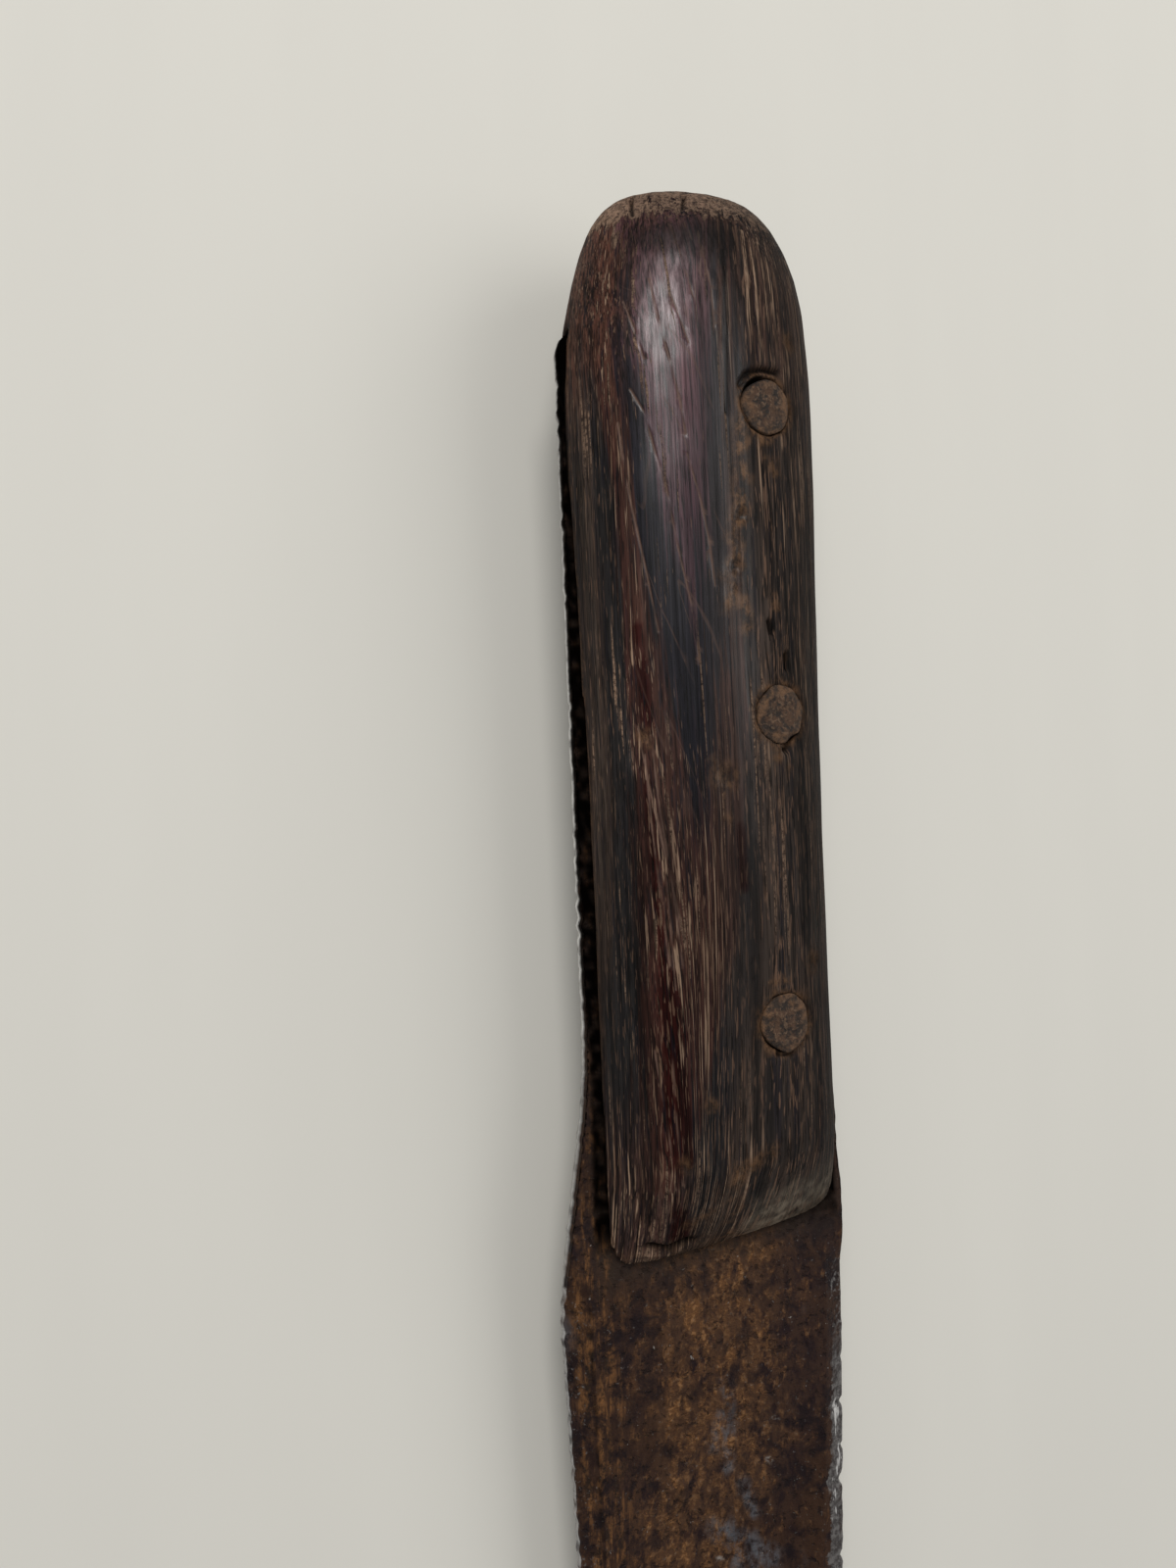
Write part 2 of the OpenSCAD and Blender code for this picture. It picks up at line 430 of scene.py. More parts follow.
# Growth rings: distance from the tree's heart in millimetres, and the colour there
RINGS = (
    (0.0, HEART_PURPLE),
    (6.9, HEART_PURPLE),
    (7.45, HEART_DEEP),
    (7.7, INK),
    (8.25, INK),
    (8.45, RED_BROWN),
    (8.8, BURNT),
    (9.1, RED_BROWN),
    (9.45, RED_BROWN),
    (9.75, CHARCOAL),
    (10.4, CHARCOAL),
    (10.9, UMBER),
    (11.4, DRY),
    (11.8, UMBER),
    (12.2, CHARCOAL),
    (12.9, CHARCOAL),
    (13.4, DRY),
    (13.8, CHARCOAL),
    (14.4, UMBER),
    (15.4, DRY),
    (16.2, CHARCOAL),
    (17.0, RED_BROWN),
    (17.6, INK),
    (18.4, UMBER),
    (19.2, CHARCOAL),
    (20.4, RED_BROWN),
    (21.2, UMBER),
    (22.4, CHARCOAL),
    (24.0, UMBER),
)

# How deep each finish's relief is in metres, and how strongly it reflects
WOOD_RELIEF = 0.00020
STEEL_RELIEF = 0.00026
IRON_RELIEF = 0.00028
WOOD_GLANCE = 0.09
STEEL_GLANCE = 0.12
IRON_GLANCE = 0.3
POLISH_ROUGHNESS = 0.27
CALM_VEIL = 0.6
CALM_TONE = (0.8, 0.8, 0.8)
CROWN_LINES_TURN = -17
FILED_TURN = 38


def make_rosewood():
    material, shader, here = new_material("rosewood")
    apart = fresh("SeparateXYZ")
    plug(apart.inputs[0], here)
    joined = fresh("CombineXYZ")
    set_inputs(joined, X=painted("grain"), Y=apart.outputs["Y"], Z=painted("grain_up"))
    log = joined.outputs[0]
    polish = painted("polish")
    open_grain = painted("open")
    calm = painted("calm")
    red = painted("red")
    hollow_shade = painted("depth")

    # The rings wander a little along the log and are torn finely across it
    wander = cloud(stretched(log, (1, 0.2, 1)), 0.006, 2, 0.5)
    torn = cloud(stretched(log, (1, 0.03, 1)), 0.0008, 3, 0.6)
    radius = plus(painted("rings"), runs(wander, -0.0005, 0.0005))
    radius = plus(radius, runs(torn, -0.0007, 0.0007))
    stops = [(at * MM / RING_SPAN, colour) for at, colour in RINGS]
    colour = ramp(sums("DIVIDE", radius, RING_SPAN), stops)

    # Fibres: wide tan lines where the grain lies open, short flecks where it is dry, hairlines on the polish
    wide_level = runs(open_grain, 0.70, 0.552)
    wide = use_group(fibres, Vector=log, Width=0.00042, Stretch=0.015, Level=wide_level)
    short_level = runs(painted("dry"), 0.72, 0.58)
    short = use_group(fibres, Vector=log, Width=0.00026, Stretch=0.06, Level=short_level)
    hair = use_group(fibres, Vector=here, Width=0.00020, Stretch=0.012, Level=0.6)
    shade = straight(wide["Streak"], 0.32, 0.68, 0.12, 1.9)
    shade = times(shade, straight(hair["Streak"], 0.3, 0.7, 0.60, 1.42))
    fine_shade = ranged(hair["Streak"], 0.3, 0.7, 0.35, 1.7)
    shade = tint(runs(polish, 0, 0.5), shade, fine_shade)
    shade = tint(times(calm, CALM_VEIL), shade, CALM_TONE)
    shade = times(shade, runs(red, 1, 0.6))
    warmth = times(painted("warm"), ranged(torn, 0.38, 0.6, 0.2, 0.85))
    colour = laid(colour, (warmth, BUTT_BROWN), (red, RED), (painted("brown"), UMBER))
    colour = tint(1.0, colour, shade, "MULTIPLY")
    colour = laid(
        colour,
        (times(wide["Pore"], runs(calm, 0.7, 0.25)), INK),
        (times(short["Fleck"], runs(calm, 0.8, 0.3)), PATCH),
        (
            times(wide["Fleck"], ranged(open_grain, 0, 1, 0.35, 0.95)),
            tint(ranged(hair["Streak"], 0.35, 0.6), PATCH, TAN),
        ),
        (times(short["Pore"], runs(calm, 0.8, 0.35)), SHADE_AND_PORE_BLACK),
    )

    # Thin long lines that cross the polished crown aslant
    slanted = stretched(stretched(here, turn=(0, 0, CROWN_LINES_TURN)), (1, 0.13, 1))
    contour = cloud(slanted, 0.0038, 1, 0.4, 0.3)
    near = sums("ABSOLUTE", less(contour, 0.5))
    broken = cloud(stretched(here, (1, 0.3, 1), shift=(0.2, 0.6, 0.1)), 0.004, 2, 0.5)
    aslant = times(ranged(near, 0.004, 0.014, 1, 0), ranged(broken, 0.45, 0.55))
    aslant = times(times(aslant, polish), 0.3)
    line = most(aslant, painted("line"))

    # Packed dirt, dust, worn end grain, and painted shade in hollows
    patchy = cloud(stretched(here, (1, 0.6, 1)), 0.0010, 5, 0.72)
    dirt_share = times(painted("dirt"), ranged(patchy, 0.3, 0.6, 0.45, 1.0), True)
    dust_share = times(painted("dust"), ranged(patchy, 0.32, 0.58, 0.25, 1.0), True)
    end_spots = cloud(here, 0.0006, 5, 0.8)
    ragged = straight(wide["Streak"], 0.3, 0.7, -0.8, 0.8)
    end_share = ranged(plus(painted("end_grain"), ragged), 0.42, 0.62, 0, 0.9)
    colour = laid(
        colour,
        (line, GRAIN_TAN),
        (dirt_share, tint(ranged(patchy, 0.38, 0.62), DEEP_GRIME_AND_SHADE, GRIME)),
        (dust_share, DUST),
        (end_share, tint(ranged(end_spots, 0.36, 0.60), END_DEEP, END_BROWN)),
    )
    # The painted tone: painted light on the left side and painted shade on the right, with a darker band
    # below the butt's end grain and darker lines of grain
    colour = tint(1.0, colour, painted("tone"), "MULTIPLY")
    # Painted shade: the painted depth lays black in cracks, dents, the pins' bores and the slot
    colour = tint(hollow_shade, colour, SHADE_AND_PORE_BLACK)

    # Palm polish on the crown, dull and dry elsewhere
    smear = cloud(stretched(here, (1, 0.4, 1)), 0.004, 4, 0.6)
    rough = plus(runs(polish, 0.66, 0.42), straight(smear, 0.3, 0.7, -0.06, 0.09))
    rough = weighed((rough, 1), (dirt_share, 0.2))
    coat = times(polish, straight(smear, 0.3, 0.65, 1.0, 0.55))
    coat = times(coat, straight(hair["Streak"], 0.32, 0.66, 0.2, 1.2))
    coat = times(coat, less(1.0, most(line, end_share)), True)

    height = weighed((wide["Streak"], 0.8), (short["Pore"], -0.5), (wide["Fleck"], 0.35))
    height = times(height, runs(polish, 1.0, 0.25))
    caked = times(patchy, dirt_share)
    frayed = times(end_spots, end_share)
    height = weighed((height, 1), (hair["Streak"], 0.22), (line, -0.3), (caked, 0.9), (frayed, 0.7))
    set_inputs(
        shader,
        Base_Color=colour,
        Roughness=rough,
        Coat_Weight=coat,
        Coat_Roughness=POLISH_ROUGHNESS,
        Metallic=most(hollow_shade, times(red, 0.6)),
        Specular_IOR_Level=WOOD_GLANCE,
        Normal=relief(height, WOOD_RELIEF),
    )
    return material


# Steel colours, from the patina to the rubbed rims
PATINA = (0.0128, 0.0066, 0.0075)
PATINA_WARM = (0.052, 0.0265, 0.0150)
# Cool grey-blue for patches of patina and for painted sheens
COOL_PATINA_AND_SHEEN = (0.090, 0.094, 0.106)
BLACKENED = (0.0085, 0.0050, 0.0062)
RUST_DEEP = (0.028, 0.0130, 0.0075)
RUST = (0.150, 0.068, 0.0250)
RUST_LIGHT = (0.270, 0.145, 0.065)
DRIP_BROWN = (0.020, 0.012, 0.008)
CRUST = (0.30, 0.28, 0.26)
GROUND = (0.048, 0.043, 0.042)
GROUND_LIGHT = (0.125, 0.118, 0.114)
# Bare metal of rubbed rims and chips, near white so that it also stands as a painted glint
BARE_METAL_AND_GLINT = (0.90, 0.89, 0.87)

# The pins' colours
IRON_DEEP = (0.017, 0.0110, 0.0080)
IRON_RUST = (0.066, 0.035, 0.020)
IRON_LIGHT = (0.136, 0.083, 0.050)
FILE_MARK = (0.013, 0.010, 0.009)


def make_steel():
    material, shader, here = new_material("rusted_steel")
    bevel = painted("bevel")
    gap_shade = painted("depth")
    middle = painted("middle")
    down_left = painted("streaky")
    drawn = stretched(here, (1, 0.5, 1))

    # Old patina under mottled rust, warmer along the middle of the blade
    broad = cloud(drawn, 0.008, 3, 0.55)
    tone = cloud(drawn, 0.0013, 6, 0.7)
    colour = tint(ranged(broad, 0.38, 0.62), PATINA, RUST_DEEP)
    warm = times(ranged(tone, 0.36, 0.60), runs(middle, 0.45, 1.0))
    blot_level = runs(middle, 0.57, 0.445)
    blotches = spots(drawn, 0.0034, blot_level, 0.13)
    freckles = spots(drawn, 0.0012, blot_level, 0.13)
    grains = spots(here, 0.0006, 0.5, 0.10)
    both = times(blotches["Mask"], runs(freckles["Mask"], 0.3, 1.0))
    both = most(both, times(freckles["Mask"], 0.45))
    rust_share = times(both, ranged(grains["Tone"], 0.35, 0.6, 0.45, 1.0), True)
    drips = cloud(stretched(here, (1, 0.10, 1), shift=(0.4, 0.2, 0.6)), 0.0007, 4, 0.65)
    colour = laid(
        colour,
        (warm, PATINA_WARM),
        (rust_share, tint(times(grains["Mask"], 0.5), RUST, RUST_LIGHT)),
        (
            times(down_left, ranged(drips, 0.42, 0.6)),
            tint(ranged(tone, 0.4, 0.6), DRIP_BROWN, RUST),
        ),
    )

    # Cool patina in patches and painted sheens that stand for reflections, blackened spots, pits and pale
    # flakes
    cool = cloud(stretched(here, (1, 0.6, 1), shift=(0.3, 0.1, 0.2)), 0.010, 3, 0.6)
    cool_patina_and_sheen = times(ranged(cool, 0.66, 0.76), less(0.45, rust_share), True)
    cool_patina_and_sheen = times(cool_patina_and_sheen, less(1.0, down_left))
    # Painted sheens: reflections painted in cool grey-blue where they lie on the blade
    sheen = times(painted("sheen"), ranged(tone, 0.38, 0.64), True)
    cool_patina_and_sheen = most(cool_patina_and_sheen, sheen)
    elsewhere = stretched(here, shift=(0.7, 0.3, 0.5))
    blackened = spots(elsewhere, 0.0036, 0.50, 0.14)
    pits = spots(here, 0.0011, 0.56, 0.12)
    flakes = spots(elsewhere, 0.0008, 0.69, 0.03)
    pale = times(painted("pale"), ranged(grains["Tone"], 0.42, 0.55), True)
    colour = laid(
        colour,
        (cool_patina_and_sheen, COOL_PATINA_AND_SHEEN),
        (times(blackened["Mask"], runs(middle, 0.9, 0.55)), BLACKENED),
        (times(pits["Mask"], 0.6), BLACKENED),
        (most(pale, times(flakes["Mask"], 0.6)), CRUST),
    )

    # Ground bevels, rubbed rims of bare metal with a painted glint, painted shade on the steel ahead of the
    # wood, and painted shade in the gap under it
    worn = cloud(here, 0.0006, 5, 0.7)
    worn_long = cloud(stretched(here, (1, 0.25, 1), shift=(0.2, 0.4, 0.1)), 0.002, 4, 0.65)
    torn = plus(bevel, straight(worn, 0.3, 0.7, -0.45, 0.45))
    ground = times(ranged(torn, 0.25, 0.6), ranged(worn_long, 0.36, 0.5, 0.35, 1.0), True)
    chipped = times(ranged(bevel, 0.4, 0.8), ranged(worn_long, 0.58, 0.63))
    rubbed_and_glint = times(painted("edge"), ranged(worn, 0.28, 0.42))
    bare_and_glint = most(rubbed_and_glint, times(chipped, 0.45), True)
    colour = laid(
        colour,
        (ground, tint(ranged(worn, 0.42, 0.60), GROUND, GROUND_LIGHT)),
        (bare_and_glint, BARE_METAL_AND_GLINT),
        (times(painted("shade_ahead_of_wood"), ranged(tone, 0.36, 0.6, 1, 0.4)), DEEP_GRIME_AND_SHADE),
        (gap_shade, SHADE_AND_PORE_BLACK),
    )

    rough = straight(tone, 0.3, 0.7, 0.48, 0.70)
    rough = weighed((rough, 1), (rust_share, 0.2), (cool_patina_and_sheen, -0.18), (gap_shade, 0.4), (bare_and_glint, -0.15))
    height = weighed((tone, 0.6), (rust_share, 0.35), (grains["Tone"], 0.45), (pits["Mask"], -0.5))
    set_inputs(
        shader,
        Base_Color=colour,
        Metallic=most(times(bare_and_glint, 0.2), gap_shade),
        Roughness=rough,
        Specular_IOR_Level=STEEL_GLANCE,
        Normal=relief(height, STEEL_RELIEF),
    )
    return material


def make_pin_iron():
    material, shader, here = new_material("filed_iron")
    filed = stretched(here, (1, 0.2, 1), turn=(0, 0, FILED_TURN))
    marks = cloud(filed, 0.0006, 4, 0.65)
    tone = cloud(here, 0.0013, 5, 0.75)
    grains = spots(here, 0.00050, 0.52, 0.08)
    colour = laid(
        tint(ranged(tone, 0.42, 0.55), IRON_DEEP, IRON_RUST),
        (times(grains["Mask"], 0.7), IRON_LIGHT),
        (ranged(marks, 0.56, 0.66, 0, 0.7), FILE_MARK),
        (painted("dirt"), tint(ranged(tone, 0.38, 0.62), DEEP_GRIME_AND_SHADE, GRIME)),
        # Painted shade in the gap beside the pin
        (painted("depth"), SHADE_AND_PORE_BLACK),
    )
    height = weighed((marks, 1), (grains["Tone"], 0.9), (tone, 0.8))
    set_inputs(
        shader,
        Base_Color=colour,
        Roughness=straight(tone, 0.3, 0.7, 0.65, 0.85),
        Specular_IOR_Level=IRON_GLANCE,
        Normal=relief(height, IRON_RELIEF),
    )
    return material


rosewood = make_rosewood()
rusted_steel = make_steel()
filed_iron = make_pin_iron()


def finish_piece(bm, name, material, node, paints):
    """Makes an object of a finished mesh, paints its points by name and lets it stand for its node"""
    mesh = bpy.data.meshes.new(name)
    bm.to_mesh(mesh)
    bm.free()
    for polygon in mesh.polygons:
        polygon.use_smooth = True
    for label in paints[0]:
        layer = mesh.attributes.new(label, "FLOAT", "POINT")
        layer.data.foreach_set("value", [paint[label] for paint in paints])
    mesh.materials.append(material)
    piece = bpy.data.objects.new(name, mesh)
    bpy.context.collection.objects.link(piece)
    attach(piece, "root")
    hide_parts(node)


# Handle: the sawn and bored blank, meshed finely, then worn

WOOD_VOXEL = 0.58 * MM
MERGE_WITHIN = 0.001 * MM
SMOOTH_ROUNDS = 3
SLOT_HALF = BLADE_THICKNESS / 2 + 0.15 * MM
REFINE_NEAR_LINE = 1.1 * MM
REFINE_NEAR_GRAIN = 0.6 * MM
REFINE_NEAR_PIN = 1.2 * MM
PIN_FACES_FROM = LIFT - 3.2 * MM
LIP_LEFT_OF = -12 * MM
LIP_FROM = 0.5 * MM
LIP_TO = 3.2 * MM

# The tree's heart runs under the crown: its place across and up, as the handle goes from butt to front
HEART_ACROSS = (-3.03 * MM, -0.41 * MM, -2.53 * MM)
HEART_UP = (3.10 * MM, -2.58 * MM, -1.00 * MM)
HEART_AT = 65 * MM
HEART_RUN = 60 * MM
CROWN_RISE = 6 * MM
CROWN_BLEND = 3 * MM
CROWN_DIP = 0.7
CROWN_LEAST = 0.1
GRAIN_TURNS_AT = 55 * MM
GRAIN_TURN = 0.065

# How deep the wood's relief goes, in millimetres
WAVE_DEEP = 0.16
FURROW_DRY = 0.055
FURROW_HELD = 0.018
GRAIN_LINE_DEEP = 0.07
GRAIN_LINE_WIDE = 0.20 * MM

# Zones of the wood: strength, then in millimetres where it begins, ends or is fullest, and its fade
CROWN_MIDDLE = -4.5 * MM
CROWN_SIDES = (1, 9.5, 6)
PALM_ENDS = (1, 50, 40)
PALM_BUTT = (0.85, 0, 12)
HEART_BUTT = (2.6, 22, 16)
HEART_BUTT_LEFT = (1, -3.5, 5)
HEART_RIGHT = (0.45, -1, 2)
HEART_BACK = (1, 70, 20)
PACKED_RIGHT = (1, -6, 10)
WARM_BUTT = (1, 34, 16)
WARM_BAND = (0.7, 13, 7)
WARM_FRONT = (0.55, 104, 14)
WARM_LEFT = (1, -5, 4)
DARK_BAND = (0.75, 7.5, 5)
DARK_BAND_MIDDLE = -3 * MM
DARK_BAND_SIDES = (1, 9, 4)
# Painted light on the left side and along the left flank's waist, painted shade on the right side
PAINTED_LIGHT_LEFT = (0.35, -6, 6)
PAINTED_SHADE_RIGHT = (0.42, 5, 6)
PAINTED_LIGHT_WAIST = (0.45, 62, 24)
PAINTED_LIGHT_WAIST_LEFT = (1, -8, 4)
BUTT_ZONE = (1, 12, 6)
PAINTED_LIGHT_BUTT_LEFT = (0.3, -4, 4)
PAINTED_SHADE_BUTT_RIGHT = (0.2, 2, 4)
BROWN_BY_CROWN = (0.5, -4.2, 2.5)
BROWN_FRONT = (1, 60, 15)
BROWN_FRONT_LEFT = (1, 8, 4)
BROWN_RIGHT = (1, 0.5, 2.5)
DUST_FRONT = (0.75, 8.5, 6)
LEFT_DAMP = (0.35, -9, 4)
CALM_LEFT = (1, -9.5, 3)
CALM_RIGHT = (1, 10.5, 3)
CALM_FROM = (0.6, 35, 15)
CALM_TO = (1, 116, 14)
CALM_MIDDLE = (1.2, 0.8, 3.8)
CALM_ALONG = (1, 88, 28)
TAN_RING_INSIDE = (1.5, 9.15, 1.4)
TAN_RING_OUTSIDE = (1.5, 9.15, 0.8)
TAN_FROM = (1, 25, 25)
TAN_RIGHT = (0.75, -2.5, 2)
TAN_RIGHT_FROM = (1, 40, 10)
OPEN_FRONT = (1, 60, 20)
OPEN_LEFT = (0.25, -9, 3)
OPEN_BUTT_RIGHT = (0.22, 1, 3)
OPEN_BUTT = (1, 42, 12)
OPEN_LIP = (0.8, 104, 10)
OPEN_LIP_LEFT = (1, 6, 5)

# Marks that show in the photograph: the pixels of each, its width in mm, and its depth in mm or strength
GRAIN_LINES = (
    ((636, 308), (647, 335), (657, 366)),
    ((662, 284), (672, 327), (684, 370), (694, 408), (700, 443)),
    ((680, 290), (693, 323), (703, 350)),
    ((643, 397), (657, 420), (668, 459), (680, 497), (692, 559), (705, 613), (715, 679)),
    ((684, 230), (695, 261), (709, 308)),
    ((630, 431), (643, 509), (661, 590), (672, 644)),
    ((701, 462), (715, 509), (724, 551), (730, 598)),
    ((715, 250), (726, 296), (730, 342)),
    ((668, 1072), (674, 1110), (683, 1160), (690, 1215)),
    ((651, 743), (662, 800), (678, 870), (690, 1010)),
    ((664, 750), (672, 815), (686, 900), (697, 985)),
    ((658, 770), (666, 850), (676, 930), (684, 985)),
    ((670, 830), (684, 892), (698, 958)),
    ((686, 1075), (690, 1140), (697, 1210)),
)
CRACKS = (
    (((643, 203), (645, 219)), 0.35, 0.9),
    (((698, 200), (696, 213)), 0.3, 0.7),
    (((785, 634), (787, 645)), 0.4, 0.5),
    (((802, 668), (803, 682)), 0.4, 0.45),
    (((757, 392), (762, 382), (777, 377), (795, 380)), 0.5, 0.6),
    (((801, 752), (803, 764)), 0.6, 0.7),
    (((784, 1062), (796, 1075), (810, 1074)), 0.4, 0.5),
    (((664, 1275), (682, 1277), (702, 1268)), 0.9, 1.1),
    (((737, 255), (742, 330), (741, 420)), 0.35, 0.12),
)
REDS = (
    (((683, 1000), (687, 1070), (690, 1150), (693, 1262)), 2.0),
    (((700, 1110), (704, 1190)), 0.6),
    (((757, 845), (760, 905)), 0.8),
    (((650, 640), (662, 745)), 1.0),
    (((661, 800), (676, 985)), 0.7),
)
DARKS = (
    (((648, 800), (652, 930), (655, 1040), (661, 1160), (664, 1240)), 2.0),
    (((768, 860), (772, 960), (774, 1060), (772, 1150)), 1.3),
    (((815, 745), (820, 860), (822, 960)), 1.2),
    (((738, 262), (741, 400), (744, 500)), 0.9),
    (((676, 825), (684, 880), (689, 930)), 1.0),
    (((770, 1150), (774, 1215)), 1.8),
)
STAINS = (
    (((757, 432), (756, 510), (750, 560), (745, 612)), 1.9, 1.0),
    (((758, 612), (763, 628)), 1.2, 1.0),
    (((789, 606), (793, 620)), 1.0, 0.9),
    (((776, 445), (784, 462), (790, 480)), 1.3, 0.95),
    (((758, 398), (764, 384), (780, 378), (797, 384)), 0.8, 0.8),
    (((778, 700), (772, 722), (776, 752)), 0.9, 0.8),
    (((792, 770), (803, 782)), 1.1, 0.8),
    (((785, 1005), (797, 1000), (815, 1008)), 0.9, 0.8),
    (((742, 1262), (790, 1250), (842, 1226)), 1.7, 0.95),
    (((706, 1250), (720, 1236)), 1.4, 0.8),
    (((728, 775), (740, 800), (744, 840)), 0.9, 0.6),
    (((655, 745), (662, 762)), 0.8, 0.7),
    (((800, 640), (802, 672)), 0.6, 0.5),
)
DENTS = (
    ((755, 525), 1.2, 0.65),
    ((750, 578), 1.1, 0.55),
    ((748, 602), 0.8, 0.35),
    ((752, 550), 0.8, 0.15),
    ((740, 792), 1.8, 0.22),
    ((658, 752), 1.1, 0.18),
    ((762, 640), 1.0, 0.18),
    ((700, 1190), 1.0, 0.15),
    ((727, 1128), 0.9, 0.15),
    ((805, 350), 1.3, 0.2),
    ((830, 980), 1.6, 0.25),
)


def past(value, zone):
    """Rises to a zone's strength beyond the place where it begins"""
    strength, start, fade = zone
    return strength * ease((value - start * MM) / (fade * MM))


def before(value, zone):
    """Falls from a zone's strength up to the place where it ends"""
    strength, end, fade = zone
    return strength * ease((end * MM - value) / (fade * MM))


def about(value, zone):
    """A hump of a zone's strength about its middle"""
    strength, middle, reach = zone
    return strength * bump_at(abs(value - middle * MM), reach * MM)


def uneven(point, size):
    """Noise with lumps of one size in millimetres"""
    return noise.noise(point / (size * MM))


def marks_on(node, marks):
    """Marks where they lie on a node: a spot or a line, its width, and what else is given of it"""
    found = []
    for pixels, wide, *others in marks:
        is_line = isinstance(pixels[0], tuple)
        at = [seen_at(pixel, node) for pixel in pixels] if is_line else seen_at(pixels, node)
        found.append((at, wide * MM, *others))
    return found


def nearest_mark(point, marks, spread):
    """How strongly the nearest mark shows at a point, with its width spread"""
    return max(bump_at(away_from(point, at), wide * spread) for at, wide, *others in marks)


def refined(bm, near, rounds):
    """Splits the edges that lie near a feature, so that it can be carved finely"""
    for _ in range(rounds):
        chosen = [edge for edge in bm.edges if all(near(vert.co) for vert in edge.verts)]
        bmesh.ops.subdivide_edges(bm, edges=chosen, cuts=1, use_grid_fill=True)


def half_sizes(along):
    share = clamp01((along - PALM_AT) / (HANDLE_LENGTH - PALM_AT))
    drawn_in = WAIST * math.sin(math.pi * share)
    half_width = mix(HANDLE_WIDTH, FRONT_WIDTH, ease(share)) / 2 - drawn_in
    return half_width, mix(HANDLE_THICKNESS, FRONT_THICKNESS, ease(share)) / 2


def past_lip(x, along):
    """How far ahead of the wood's slanting front a place is"""
    return along + x * math.tan(math.radians(FRONT_SLANT)) - HANDLE_LENGTH


def bent(line, along):
    run = (along - HEART_AT) / HEART_RUN
    return line[0] + line[1] * run + line[2] * run * run


def ring_place(x, along, z):
    """Distance from the tree's heart, and a place across the grain that closes in as the rings do"""
    across = x - bent(HEART_ACROSS, along)
    up = z - bent(HEART_UP, along)
    risen = max(up * up - CROWN_RISE * CROWN_RISE, -CROWN_DIP * across * across)
    closing = (across * across + risen + CROWN_BLEND**2) / (across * across + CROWN_BLEND**2)
    return math.hypot(across, up), across * math.sqrt(max(closing, CROWN_LEAST))


def unrounded(x, along, z):
    """Height on the full section: the front end's lines of grain run straight down to its lip"""
    half_width, half_height = half_sizes(along)
    full = half_height * (1 - clamp01(abs(x) / half_width) ** SECTION_POWER) ** (1 / SECTION_POWER)
    return mix(z, math.copysign(full, z), ease((FRONT_ROUND + 1 * MM + past_lip(x, along)) / (4 * MM)))


def make_blank():
    """The solid's own shape, meshed evenly and smoothed a little"""
    bm = bmesh.new()
    bm.from_mesh(frame["nodes"]["handle"].data)
    bmesh.ops.remove_doubles(bm, verts=bm.verts, dist=MERGE_WITHIN)
    rough_mesh = bpy.data.meshes.new("handle_rough")
    bm.to_mesh(rough_mesh)
    bm.free()
    rough = bpy.data.objects.new("handle_rough", rough_mesh)
    bpy.context.collection.objects.link(rough)
    finer = rough.modifiers.new("finer", "REMESH")
    finer.mode = "VOXEL"
    finer.voxel_size = WOOD_VOXEL
    bm = bmesh.new()
    bm.from_object(rough, bpy.context.evaluated_depsgraph_get())
    bpy.data.objects.remove(rough)
    bpy.data.meshes.remove(rough_mesh)
    all_ways = {"use_axis_x": True, "use_axis_y": True, "use_axis_z": True}
    for _ in range(SMOOTH_ROUNDS):
        bmesh.ops.smooth_vert(bm, verts=bm.verts, factor=0.5, **all_ways)
    return bm


